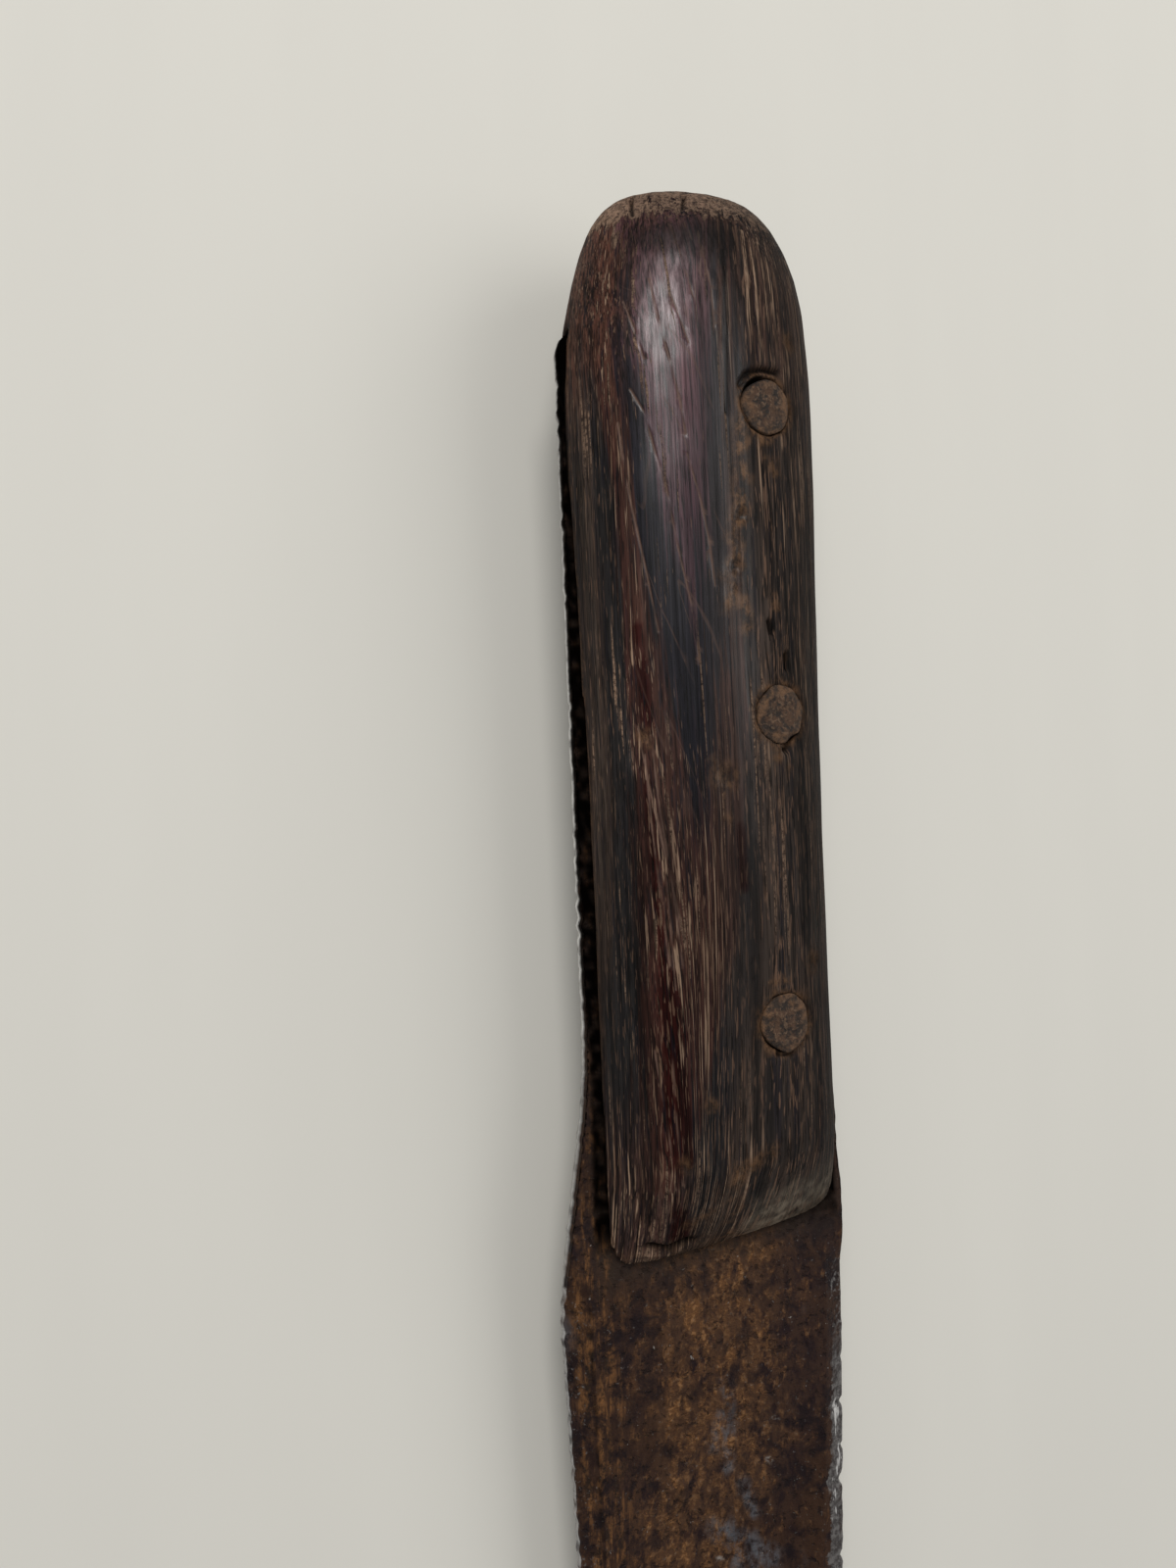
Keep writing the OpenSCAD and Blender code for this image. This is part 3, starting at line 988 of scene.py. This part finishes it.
def make_handle():
    bm = make_blank()
    cracks = marks_on("handle", CRACKS)
    dents = marks_on("handle", DENTS)
    red_lines = marks_on("handle", REDS)
    dark_lines = marks_on("handle", DARKS)
    stains = marks_on("handle", STAINS)
    grain_lines = [[seen_at(pixel, "handle") for pixel in pixels] for pixels in GRAIN_LINES]

    def near_grain(point):
        return point.z > LIFT and any(away_from(point, line) < REFINE_NEAR_GRAIN for line in grain_lines)

    def near_mark(point):
        x, along, z = tool_place(point)
        if any(away_from(point, crack[0]) < REFINE_NEAR_LINE for crack in cracks):
            return True
        if z > PIN_FACES_FROM and any(
            abs(math.hypot(x - at[0], along - at[1]) - PIN_RADIUS) < REFINE_NEAR_PIN for at in PINS.values()
        ):
            return True
        on_left_lip = x < LIP_LEFT_OF and LIP_FROM < z < LIP_TO
        return on_left_lip and TANG_SETBACK - 1 * MM < along < HANDLE_LENGTH + 2 * MM

    refined(bm, near_mark, 1)
    refined(bm, near_grain, 2)
    bm.normal_update()

    paints = []
    moves = []
    for vert in bm.verts:
        point = vert.co
        x, along, z = tool_place(point)
        half_width, half_height = half_sizes(along)
        out = abs(x / half_width) ** SECTION_POWER + abs(z / half_height) ** SECTION_POWER
        out = out ** (1 / SECTION_POWER)
        at_end = max(bump_at(along, 6 * MM), bump_at(HANDLE_LENGTH - along, 9 * MM))
        skin = max(ease((out - 0.9) / 0.07), at_end)
        from_pins, pin = min((math.hypot(x - at[0], along - at[1]), name) for name, at in PINS.items())
        gap = pin_gap(pin, x, along) if from_pins < 2 * PIN_RADIUS and z > 0 else 0.0
        bore_gap = (0.12 + 0.15 * uneven(point, 1.7) + 0.35 * gap) * MM
        in_bore = ease((PIN_RADIUS + bore_gap - from_pins) / (0.3 * MM)) * gap
        in_slot = ease((SLOT_HALF + 0.35 * MM - abs(z)) / (0.35 * MM))
        in_slot *= ease((along - TANG_SETBACK + 1 * MM) / MM)
        skin *= 1 - in_slot

        # Long shallow undulation, then fibres that stand proud, more on the dry flanks
        grain_z = unrounded(x, along, z)
        grain_place = Vector((point.x, point.y * 0.06, grain_z)) / (0.9 * MM)
        furrow = noise.noise(grain_place) + 0.5 * noise.noise(grain_place * 2.1)
        crown = ease((z / half_height - 0.5) / 0.4) * before(abs(x - CROWN_MIDDLE), CROWN_SIDES)
        held = crown * mix(1.0, 0.12, past(along, PALM_ENDS))
        under_palm = 0.55 * ease((-z / half_height - 0.4) / 0.4)
        gloss = max(held, under_palm) * (1 - at_end * 0.7) * (1 - about(along, PALM_BUTT))
        move = skin * (WAVE_DEEP * uneven(point, 14) + mix(FURROW_DRY, FURROW_HELD, gloss) * furrow)
        for line, wide, deep in cracks:
            move -= skin * deep * bump_at(away_from(point, line), wide * 1.6)
        for middle, wide, deep in dents:
            ragged = wide * (1 + 0.35 * uneven(point, 0.8))
            move -= skin * deep * bump_at(away_from(point, middle), ragged)
        grain_line = 0.0
        if z > 0:
            line_width = GRAIN_LINE_WIDE * (1 + 0.5 * uneven(point, 1.5))
            grain_line = max(bump_at(away_from(point, line), line_width) for line in grain_lines)
            grain_line *= ease(0.72 + 1.5 * uneven(point, 2.4))
        move -= skin * GRAIN_LINE_DEEP * grain_line
        moves.append(vert.normal * move * MM)

        # Rings, and lines of grain that run aslant down the handle
        from_heart, across = ring_place(x, along, grain_z)
        from_heart += MM * before(along, HEART_BUTT) * before(x, HEART_BUTT_LEFT)
        from_heart += MM * past(x, HEART_RIGHT) * before(along, HEART_BACK)
        across -= GRAIN_TURN * max(0.0, along - GRAIN_TURNS_AT)
        grain_up = 0.9 * max(abs(x) - 5 * MM, 0.0) + max(0.75 * half_height - grain_z, 0.0)
        spread = 1 + 0.45 * uneven(point, 1.3)
        red = 0.9 * ease(1.5 * nearest_mark(point, red_lines, spread)) if z > 0 else 0.0
        dark = nearest_mark(point, dark_lines, spread) if z > 0 else 0.0

        # Warm ends; painted light on the left side and painted shade on the right one
        butt_warmth = max(before(along, WARM_BUTT) * (1 - gloss), before(along, WARM_BAND))
        front_warmth = past(along, WARM_FRONT) * before(x, WARM_LEFT)
        below_band = about(along, DARK_BAND) * before(abs(x - DARK_BAND_MIDDLE), DARK_BAND_SIDES)
        painted_light_and_shade = 1 + before(x, PAINTED_LIGHT_LEFT) - past(x, PAINTED_SHADE_RIGHT)
        painted_light_and_shade += about(along, PAINTED_LIGHT_WAIST) * before(x, PAINTED_LIGHT_WAIST_LEFT)
        painted_light_and_shade += before(along, BUTT_ZONE) * (before(x, PAINTED_LIGHT_BUTT_LEFT) - past(x, PAINTED_SHADE_BUTT_RIGHT))
        browner = mix(0.6, 0.35, past(along, BROWN_FRONT) * before(x, BROWN_FRONT_LEFT))
        brown = browner * past(x, BROWN_RIGHT) * (1 - held)
        brown = max(brown, past(x, BROWN_BY_CROWN) * (1 - 0.6 * browner))

        # Where the grain lies open, and where it is calm
        on_sides = max(before(x, CALM_LEFT), past(x, CALM_RIGHT))
        on_sides *= past(along, CALM_FROM) * before(along, CALM_TO)
        calm = max(on_sides, clamp01(about(x, CALM_MIDDLE) * about(along, CALM_ALONG)))
        tan_ring = TAN_RING_INSIDE if from_heart < TAN_RING_INSIDE[1] * MM else TAN_RING_OUTSIDE
        streaked = clamp01(about(from_heart, tan_ring))
        streaked *= mix(0.6, 1.0, past(along, TAN_FROM))
        streaked *= 1 - past(x, TAN_RIGHT) * past(along, TAN_RIGHT_FROM)
        onward = past(along, OPEN_FRONT)
        flank = past(x, (mix(0.55, 0.40, onward), mix(1, 4, onward), 4)) + before(x, OPEN_LEFT)
        butt_right = past(x, OPEN_BUTT_RIGHT) * before(along, OPEN_BUTT)
        front_left = past(along, OPEN_LIP) * before(x, OPEN_LIP_LEFT)
        opened = clamp01(max(streaked, flank + butt_right, front_left) * (1 - 0.8 * held))

        # Dirt, dust, worn ends, and painted shade in the cracks, the dents' cores, the gaps in the pins'
        # bores and the slot
        crack_shade = nearest_mark(point, cracks, 1.25)
        dent_dark = nearest_mark(point, dents, 1.5)
        dent_shade = max(1.5 * deep * bump_at(away_from(point, at), wide * 0.8) for at, wide, deep in dents)
        pin_dirt_reach = (1.2 + 0.9 * uneven(point, 1.6)) * MM
        by_pin = bump_at(abs(from_pins - PIN_RADIUS - 0.2 * MM), pin_dirt_reach)
        by_slot = bump_at(abs(z) - SLOT_HALF, 1.6 * MM) * ease((along - TANG_SETBACK) / MM)
        from_front = -past_lip(x, along)
        by_front = bump_at(from_front, 4 * MM)
        packed = by_front * mix(0.35, 1.0, past(x, PACKED_RIGHT))
        lip_begins = mix(2, -3, 0.5 + 0.6 * uneven(point, 2.0))
        on_lip = before(from_front, DUST_FRONT) * past(x, (1, lip_begins, 4))
        stain = max(share * bump_at(away_from(point, at), wide * spread) for at, wide, share in stains)
        stain *= ease(0.75 + 1.6 * uneven(point, 1.9))
        band_edge = 4.6 * MM + 0.9 * MM * uneven(Vector((x, 0, z)), 2.5)
        paints.append(
            {
                "polish": gloss,
                "dry": clamp01(1.05 - gloss - before(x, LEFT_DAMP) - 0.3 * ease(-z / half_height)),
                "calm": calm,
                "open": opened * (1 - 0.55 * red) * (1 - 0.6 * dark) * (1 - 0.7 * calm),
                "dirt": clamp01(max(0.8 * packed, 0.9 * by_pin, 0.9 * dent_dark, 0.35 * by_slot, stain)),
                "end_grain": max(ease((band_edge - along) / (2.2 * MM) + 0.5), 0.3 * by_front),
                "depth": clamp01(max(0.95 * crack_shade, dent_shade, in_bore, in_slot)),
                "rings": from_heart,
                "grain": across,
                "line": grain_line,
                "grain_up": grain_up,
                "warm": max(butt_warmth, front_warmth),
                "tone": painted_light_and_shade * (1 - below_band) * (1 - 0.5 * dark),
                "brown": brown,
                "dust": clamp01(on_lip * (0.7 + 0.8 * uneven(point, 1.2))),
                "red": red,
            }
        )
    for vert, move in zip(bm.verts, moves):
        vert.co += move
    finish_piece(bm, "rosewood_handle", rosewood, "handle", paints)


# Blade and tang: one plate, drawn from a flat grid


def steel_thickness(along):
    if along < DISH_AT:
        return mix(TANG_END_THICKNESS, BLADE_THICKNESS, (along - TANG_SETBACK) / (DISH_AT - TANG_SETBACK))
    return mix(BLADE_THICKNESS, TIP_THICKNESS, (along - DISH_AT) / (TOTAL_LENGTH - DISH_AT))


def outline(along, tang, full):
    cut = clamp01((along - TANG_SETBACK) / TANG_CORNER)
    corner = TANG_CORNER * (1 - math.sqrt(1 - (1 - cut) ** 2))
    draw = EDGE_TAPER * clamp01((along - SHOULDER_AT) / (TIP_AT - SHOULDER_AT))
    return mix(tang, full, ease((along - FLARE_AT) / (SHOULDER_AT - FLARE_AT))) - corner - draw


def to_middle(x, along):
    if along <= TIP_AT:
        return x
    fade = (1 - clamp01((along - TIP_AT) / TIP_LENGTH) ** 2) ** TIP_POWER
    return BLADE_MIDDLE + math.copysign(mix(TIP_BLUNT / 2, abs(x - BLADE_MIDDLE), fade), x - BLADE_MIDDLE)


def left_edge(along):
    return to_middle(-outline(along, TANG_LEFT, BLADE_LEFT), along)


def right_edge(along):
    return to_middle(outline(along, TANG_RIGHT, BLADE_RIGHT), along)


def dish(x, along):
    return DISH_DEPTH * ease((along - DISH_AT) / DISH_RUN) * (((x - BLADE_MIDDLE) / BLADE_HALF) ** 2 - 1)


# Rows along the steel, closest at its ends and where the tang leaves the wood
ROW_FINE = 0.45 * MM
ROW_COARSE = 0.8 * MM
FINE_TO = HANDLE_LENGTH + 50 * MM
CORNER_ROWS = 9
TIP_ROWS = 80
EDGE_COLUMNS = (0, 0.22, 0.45, 0.7, 1.0, 1.35, 1.75, 2.2, 2.6, 3.0, 3.5)
MIDDLE_COLUMNS = 38
RIM_CUTS = 2
RIM_ROUND = 0.16 * MM
TANG_RIM_SLANT = 0.3 * MM


def steel_rows():
    turns = [math.pi / 2 * i / CORNER_ROWS for i in range(CORNER_ROWS + 1)]
    rows = [TANG_SETBACK + TANG_CORNER * (1 - math.cos(turn)) for turn in turns]
    for far, step in ((FINE_TO, ROW_FINE), (TIP_AT, ROW_COARSE)):
        near = rows[-1]
        count = max(1, round((far - near) / step))
        rows += [mix(near, far, i / count) for i in range(1, count + 1)]
    rows += [TIP_AT + TIP_LENGTH * math.sin(math.pi / 2 * i / TIP_ROWS) for i in range(1, TIP_ROWS + 1)]
    return rows


def across_at(column, left, right):
    """Distance across the plate of one column, close together near both edges"""
    edge_count = len(EDGE_COLUMNS)
    scale = min(1.0, (right - left) / 4 / (EDGE_COLUMNS[-1] * MM))
    band = EDGE_COLUMNS[-1] * MM * scale
    last = 2 * edge_count + MIDDLE_COLUMNS - 1
    if column < edge_count:
        return left + EDGE_COLUMNS[column] * MM * scale
    if column > last - edge_count:
        return right - EDGE_COLUMNS[last - column] * MM * scale
    return mix(left + band, right - band, (column - edge_count + 1) / (MIDDLE_COLUMNS + 1))


# Cool sheens and pale flecks that show on the blade, and chips along its right rim
SHEENS = (
    (((742, 1410), (745, 1450), (742, 1500)), 1.2),
    (((735, 1560), (762, 1575), (785, 1590)), 2.6),
    (((760, 1590), (780, 1650)), 3.2),
    (((735, 1440), (728, 1480)), 0.8),
    (((758, 1512), (770, 1545)), 1.1),
)
PALE_SPOTS = (
    ((785, 1490), 0.45),
    ((736, 1590), 0.5),
    ((722, 1540), 0.25),
    ((790, 1446), 0.2),
    ((744, 1586), 0.3),
    ((851, 1435), 0.8),
    ((851, 1520), 1.0),
    ((856, 1585), 0.8),
)
CHIPS = (
    ((848, 1435), 0.9, 0.45),
    ((848, 1480), 0.7, 0.35),
    ((852, 1512), 1.3, 0.5),
    ((852, 1590), 0.9, 0.4),
    ((850, 1390), 0.7, 0.2),
)

# How the rims wander: depth and length of each wave in mm, and a shift that makes it a wave of its own
LEFT_WAVES = ((0.10, 4, 0), (0.26, 1.1, 5))
RIGHT_WAVES = ((0.12, 5, 9), (0.10, 1.3, 7))

# Zones of the steel, as for the wood
DULL_SHOULDER = (0.45, 96, 12)
BEVEL_SHOWS = (1, 138, 8)
RUST_DRIFTS = (1, 150, 16)
RUST_SIDES = (1, 12, 8)
HOLLOW_NARROWS = (1, 88, 18)
SPECKS_FROM = (1, 20, 10)


def wave(along, depth, length, shift):
    return depth * MM * noise.noise(Vector((0, along, 0)) / (length * MM) + Vector((shift, 0, 0)))


def make_plate(columns, rows):
    """A flat grid, thickened, with its rim cut into levels"""
    bm = bmesh.new()
    bmesh.ops.create_grid(bm, x_segments=columns - 1, y_segments=rows - 1, size=0.5)
    raised = bmesh.ops.extrude_face_region(bm, geom=bm.faces[:], use_keep_orig=True)
    upper = [item for item in raised["geom"] if isinstance(item, bmesh.types.BMVert)]
    bmesh.ops.translate(bm, verts=upper, vec=(0, 0, 1))
    posts = [edge for edge in bm.edges if abs(edge.verts[0].co.z - edge.verts[1].co.z) > 0.5]
    bmesh.ops.subdivide_edges(bm, edges=posts, cuts=RIM_CUTS, use_grid_fill=True)
    return bm


def make_blade():
    rows = steel_rows()
    columns = 2 * len(EDGE_COLUMNS) + MIDDLE_COLUMNS
    bm = make_plate(columns, len(rows))
    chips = marks_on("blade", CHIPS)
    sheen_lines = marks_on("blade", SHEENS)
    pale_spots = marks_on("blade", PALE_SPOTS)
    paints = []
    for vert in bm.verts:
        column = round((vert.co.x + 0.5) * (columns - 1))
        level = vert.co.z
        along = rows[round((vert.co.y + 0.5) * (len(rows) - 1))]
        left = left_edge(along) + sum(wave(along, *each) for each in LEFT_WAVES)
        right = right_edge(along) + sum(wave(along, *each) for each in RIGHT_WAVES)
        rim_y = place(right, along, 0).y
        for middle, wide, deep in chips:
            right -= deep * MM * bump_at(abs(rim_y - middle.y), wide)
        x = across_at(column, left, right)
        inward = min(x - left, right - x, max(along - TANG_SETBACK, 0), TOTAL_LENGTH - along)
        thickness = steel_thickness(along)
        foot = min(BEVEL_WIDTH, (right - left) / 4)
        ahead = ease((along - HANDLE_LENGTH) / BEVEL_RUN)
        drop = (thickness - EDGE_THICKNESS) * ahead * (1 - clamp01(inward / foot))
        under = dish(x, along) - thickness / 2
        top = under + thickness - drop
        z = mix(under, top, level)
        if inward < 0.01 * MM:
            if level in (0.0, 1.0):
                shrink = RIM_ROUND if along < TIP_AT + 0.7 * TIP_LENGTH else 0.3 * RIM_ROUND
                x += shrink if x < BLADE_MIDDLE else -shrink
            slant = TANG_RIM_SLANT * level * ease((HANDLE_LENGTH + 5 * MM - along) / (6 * MM))
            x += slant if x < BLADE_MIDDLE else -slant

        # Scale, pits and shallow hammering, held back where the wood grips the tang
        gripped = ease((HANDLE_LENGTH - 3 * MM - along) / (3 * MM)) * ease((inward - 1.2 * MM) / MM)
        spot = Vector((x, along, level * 3 * MM))
        pits = max(0.0, uneven(spot, 0.9) - 0.22) * 0.22
        pits += max(0.0, uneven(spot, 2.6) - 0.3) * 0.25
        hammer = 0.07 * uneven(spot, 7) + 0.03 * uneven(spot, 1.7)
        push = (1 - 0.85 * gripped) * (hammer - pits) * MM
        if level > 0.99:
            z += push
        elif level < 0.01:
            z -= push
        vert.co = place(x, along, z)
        point = vert.co
        on_left = x < BLADE_MIDDLE
        upper = level > 0.5
        seed = Vector((0, along, 0))

        # Rubbed rims of bare metal, with a painted glint brightest on the lower part of the left rim beside
        # the wood
        nicked = ease(0.75 + 1.5 * uneven(seed, 1.3))
        edge = bump_at(inward, 0.45 * MM)
        if along < HANDLE_LENGTH + 4 * MM:
            edge *= 1 - ease((level - 0.38) / 0.2)
            edge *= mix(0.45, 1.0, nicked) if on_left else 0.5 * nicked
            edge *= 1 - past(along, DULL_SHOULDER)
        elif on_left:
            edge = bump_at(inward, 0.25 * MM) * mix(0.1, 0.4, nicked)
        else:
            edge *= 0.12 * nicked
        ground_width = foot * (0.75 + 0.45 * uneven(seed, 3.5))
        begins = 0.1 if on_left else mix(0.25, 1.0, past(along, BEVEL_SHOWS))
        bevel = ahead * ease((ground_width - inward) / (0.5 * MM)) * (1.0 if upper else 0.3) * begins

        # Rust along the middle, streaks down the left, and painted shade on the steel just ahead of the wood
        rust_middle = -1 * MM - 3 * MM * past(along, RUST_DRIFTS)
        spread = 1 + 0.4 * uneven(spot, 1.5)
        streaky = ease((x - left) / (2 * MM)) * ease((left + 9 * MM - x) / (5 * MM))
        streaky *= 1.0 if upper else 0.4
        lip = 0.988 * half_sizes(along)[0]
        beside = ease((lip + 2 * MM - abs(x)) / (2 * MM)) * (1.0 if upper else 0.5)
        reach = (5.5 + 2.5 * uneven(spot, 3)) * MM
        shade_ahead_of_wood = 0.95 * beside * ease(1 - past_lip(x, along) / reach)

        # Painted shade: black in the gap under the wood and on the top of the rim beside it, and a black
        # line at a bevel's foot
        from_lip = abs(x) - lip + 0.25 * MM * uneven(seed, 1.5)
        hollow_shade = mix(1.9, 1.25, past(along, HOLLOW_NARROWS)) * MM
        hollow_shade *= 1 if on_left else 0.2
        shaded = ease((hollow_shade - from_lip) / (0.6 * MM)) * ease((HANDLE_LENGTH + 1.0 * MM - along) / (4 * MM))
        shaded *= ease((level - 0.40) / 0.2) if inward < 0.1 * MM else 1.0
        specks = max(0.0, uneven(spot, 1.1) + 0.1) * past(along, SPECKS_FROM)
        groove_shade = bump_at(abs(inward - foot), 0.4 * MM) * ahead * (0.4 * nicked if on_left and upper else 0.0)
        paints.append(
            {
                "shade_ahead_of_wood": shade_ahead_of_wood,
                "edge": edge,
                "bevel": bevel,
                "middle": before(abs(x - rust_middle), RUST_SIDES),
                "streaky": streaky,
                "sheen": nearest_mark(point, sheen_lines, spread) if upper else 0.0,
                "pale": nearest_mark(point, pale_spots, spread) if upper else 0.0,
                "depth": max(0.97 * shaded * (1 - 0.9 * specks), groove_shade),
            }
        )
    bmesh.ops.recalc_face_normals(bm, faces=bm.faces)
    finish_piece(bm, "steel_blade", rusted_steel, "blade", paints)


# Pins: filed flush, slightly sunk, with a ragged rim

PIN_SIDES = 80
PIN_RINGS = 15
PIN_RING_STEP = 0.19 * MM
PIN_HEAD_SPREAD = 0.08
PIN_SHANK_HALF = 8.5 * MM


def make_pin(node):
    low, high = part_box(node)
    x, along = PINS[node]
    middle = place(x, along, 0)
    bm = bmesh.new()
    size = {"radius1": PIN_RADIUS, "radius2": PIN_RADIUS, "depth": high[2] - low[2]}
    bmesh.ops.create_cone(bm, cap_ends=True, segments=PIN_SIDES, **size)
    posts = [edge for edge in bm.edges if abs(edge.verts[0].co.z - edge.verts[1].co.z) > MM]
    bmesh.ops.subdivide_edges(bm, edges=posts, cuts=2)
    shank = [vert for vert in bm.verts if abs(vert.co.z) < HANDLE_THICKNESS / 3]
    for vert in shank:
        vert.co.z = math.copysign(PIN_SHANK_HALF, vert.co.z)
    caps = [face for face in bm.faces if len(face.verts) > 4]
    for cap in caps:
        for _ in range(PIN_RINGS):
            bmesh.ops.inset_region(bm, faces=[cap], thickness=PIN_RING_STEP)
    bmesh.ops.poke(bm, faces=[face for face in bm.faces if len(face.verts) > 4])
    paints = []
    for vert in bm.verts:
        side = 1 if vert.co.z > 0 else -1
        if vert in shank:
            vert.co += middle
            paints.append({"depth": 0.0, "dirt": 0.0})
            continue
        away = math.hypot(vert.co.x, vert.co.y) / PIN_RADIUS
        around = Vector((vert.co.x, vert.co.y, 0)) / PIN_RADIUS
        inside = middle + Vector((vert.co.x * 0.96, vert.co.y * 0.96, side * HANDLE_THICKNESS))
        hit = cad_trees[node].ray_cast(inside, Vector((0, 0, -side)))[0]
        spot = Vector((middle.x + vert.co.x, middle.y + vert.co.y, side * MM))
        lump = 0.20 * uneven(spot, 1.6) + 0.09 * uneven(spot, 0.6)
        rim = ease((away - 0.78) / 0.22)
        gap = pin_gap(node, x + vert.co.x, along - vert.co.y) if side > 0 else 0.0
        spread = PIN_HEAD_SPREAD * (0.7 + 0.9 * noise.noise(around * 1.9 + middle * 300))
        ragged = 1 + rim * (spread * (1 - gap) - 0.09 * gap)
        vert.co.x = middle.x + vert.co.x * ragged
        vert.co.y = middle.y + vert.co.y * ragged
        vert.co.z = hit.z + side * (lump - (0.06 + 0.15 * gap) * rim) * MM
        caked = 0.30 * uneven(spot, 1.1) + 0.12 * uneven(spot, 0.4)
        dirt = ease((away - 0.72 + caked) / 0.16) * (1 - gap)
        # The gap beside the pin is painted black as shade; the caked dirt on its rim is its own colour
        paints.append({"depth": ease((away - 0.86) / 0.12) * gap, "dirt": dirt})
    bmesh.ops.recalc_face_normals(bm, faces=bm.faces)
    finish_piece(bm, "iron_" + node, filed_iron, node, paints)


make_handle()
make_blade()
for pin_node in PINS:
    make_pin(pin_node)

# Pale floor, tilted a little so that the handle and the blade both rest on it
FLOOR_HALF = 3.0
FLOOR_COLOUR = (0.655, 0.642, 0.592)
FLOOR_STREAK = (0.56, 0.545, 0.505)
BOARD_ROUGHNESS = 0.7
BOARD_GLANCE = 0.25
FLOOR_SINKS = 0.02 * MM
STEEL_AHEAD_OF = -0.02
HEEL_Y = 0.022
HEEL_NEARNESS = 0.02


def make_floor():
    wood = [vert.co for vert in frame["nodes"]["handle"].data.vertices]
    steel = [vert.co for vert in frame["nodes"]["blade"].data.vertices if vert.co.y < STEEL_AHEAD_OF]
    heel = min(wood, key=lambda co: co.z + HEEL_NEARNESS * abs(co.y - HEEL_Y))
    slope = min((tip.z - heel.z) / (heel.y - tip.y) for tip in steel)
    bm = bmesh.new()
    bmesh.ops.create_grid(bm, x_segments=4, y_segments=4, size=FLOOR_HALF)
    mesh = bpy.data.meshes.new("floor")
    bm.to_mesh(mesh)
    bm.free()
    floor = bpy.data.objects.new("floor", mesh)
    bpy.context.collection.objects.link(floor)
    floor.rotation_euler = (-math.atan(slope), 0, 0)
    floor.location = (0, heel.y, heel.z - FLOOR_SINKS)
    material, shader, here = new_material("pale_board")
    soft = cloud(stretched(here, (1, 0.15, 1)), 0.02, 3, 0.5)
    colour = tint(ranged(soft, 0.3, 0.7, 0, 0.12), FLOOR_COLOUR, FLOOR_STREAK)
    set_inputs(shader, Base_Color=colour, Roughness=BOARD_ROUGHNESS, Specular_IOR_Level=BOARD_GLANCE)
    mesh.materials.append(material)


make_floor()

# Soft light from above, a little beyond the butt, and a pale surround
LAMPS = (
    ("ceiling", (-0.22, 0.66, 0.86), 0.50, 0.38, 7.4, (1.0, 0.985, 0.96)),
    ("window", (0.78, 0.22, 0.78), 0.9, 0.9, 4.6, (1.0, 0.99, 0.97)),
)
LAMPS_AIM_AT = Vector((0, 0.02, 0))
SURROUND = {"Color": (0.985, 0.99, 1.0, 1), "Strength": 0.26}

for name, at, width, height, power, colour in LAMPS:
    data = bpy.data.lights.new(name, "AREA")
    data.shape = "RECTANGLE"
    data.size = width
    data.size_y = height
    data.energy = power
    data.color = colour
    lamp = bpy.data.objects.new(name, data)
    bpy.context.collection.objects.link(lamp)
    lamp.location = at
    lamp.rotation_euler = (LAMPS_AIM_AT - Vector(at)).to_track_quat("-Z", "Y").to_euler()

world = bpy.data.worlds.new("surround")
world.use_nodes = True
for name, value in SURROUND.items():
    world.node_tree.nodes["Background"].inputs[name].default_value = value
bpy.context.scene.world = world
bpy.context.scene.view_settings.view_transform = "Standard"
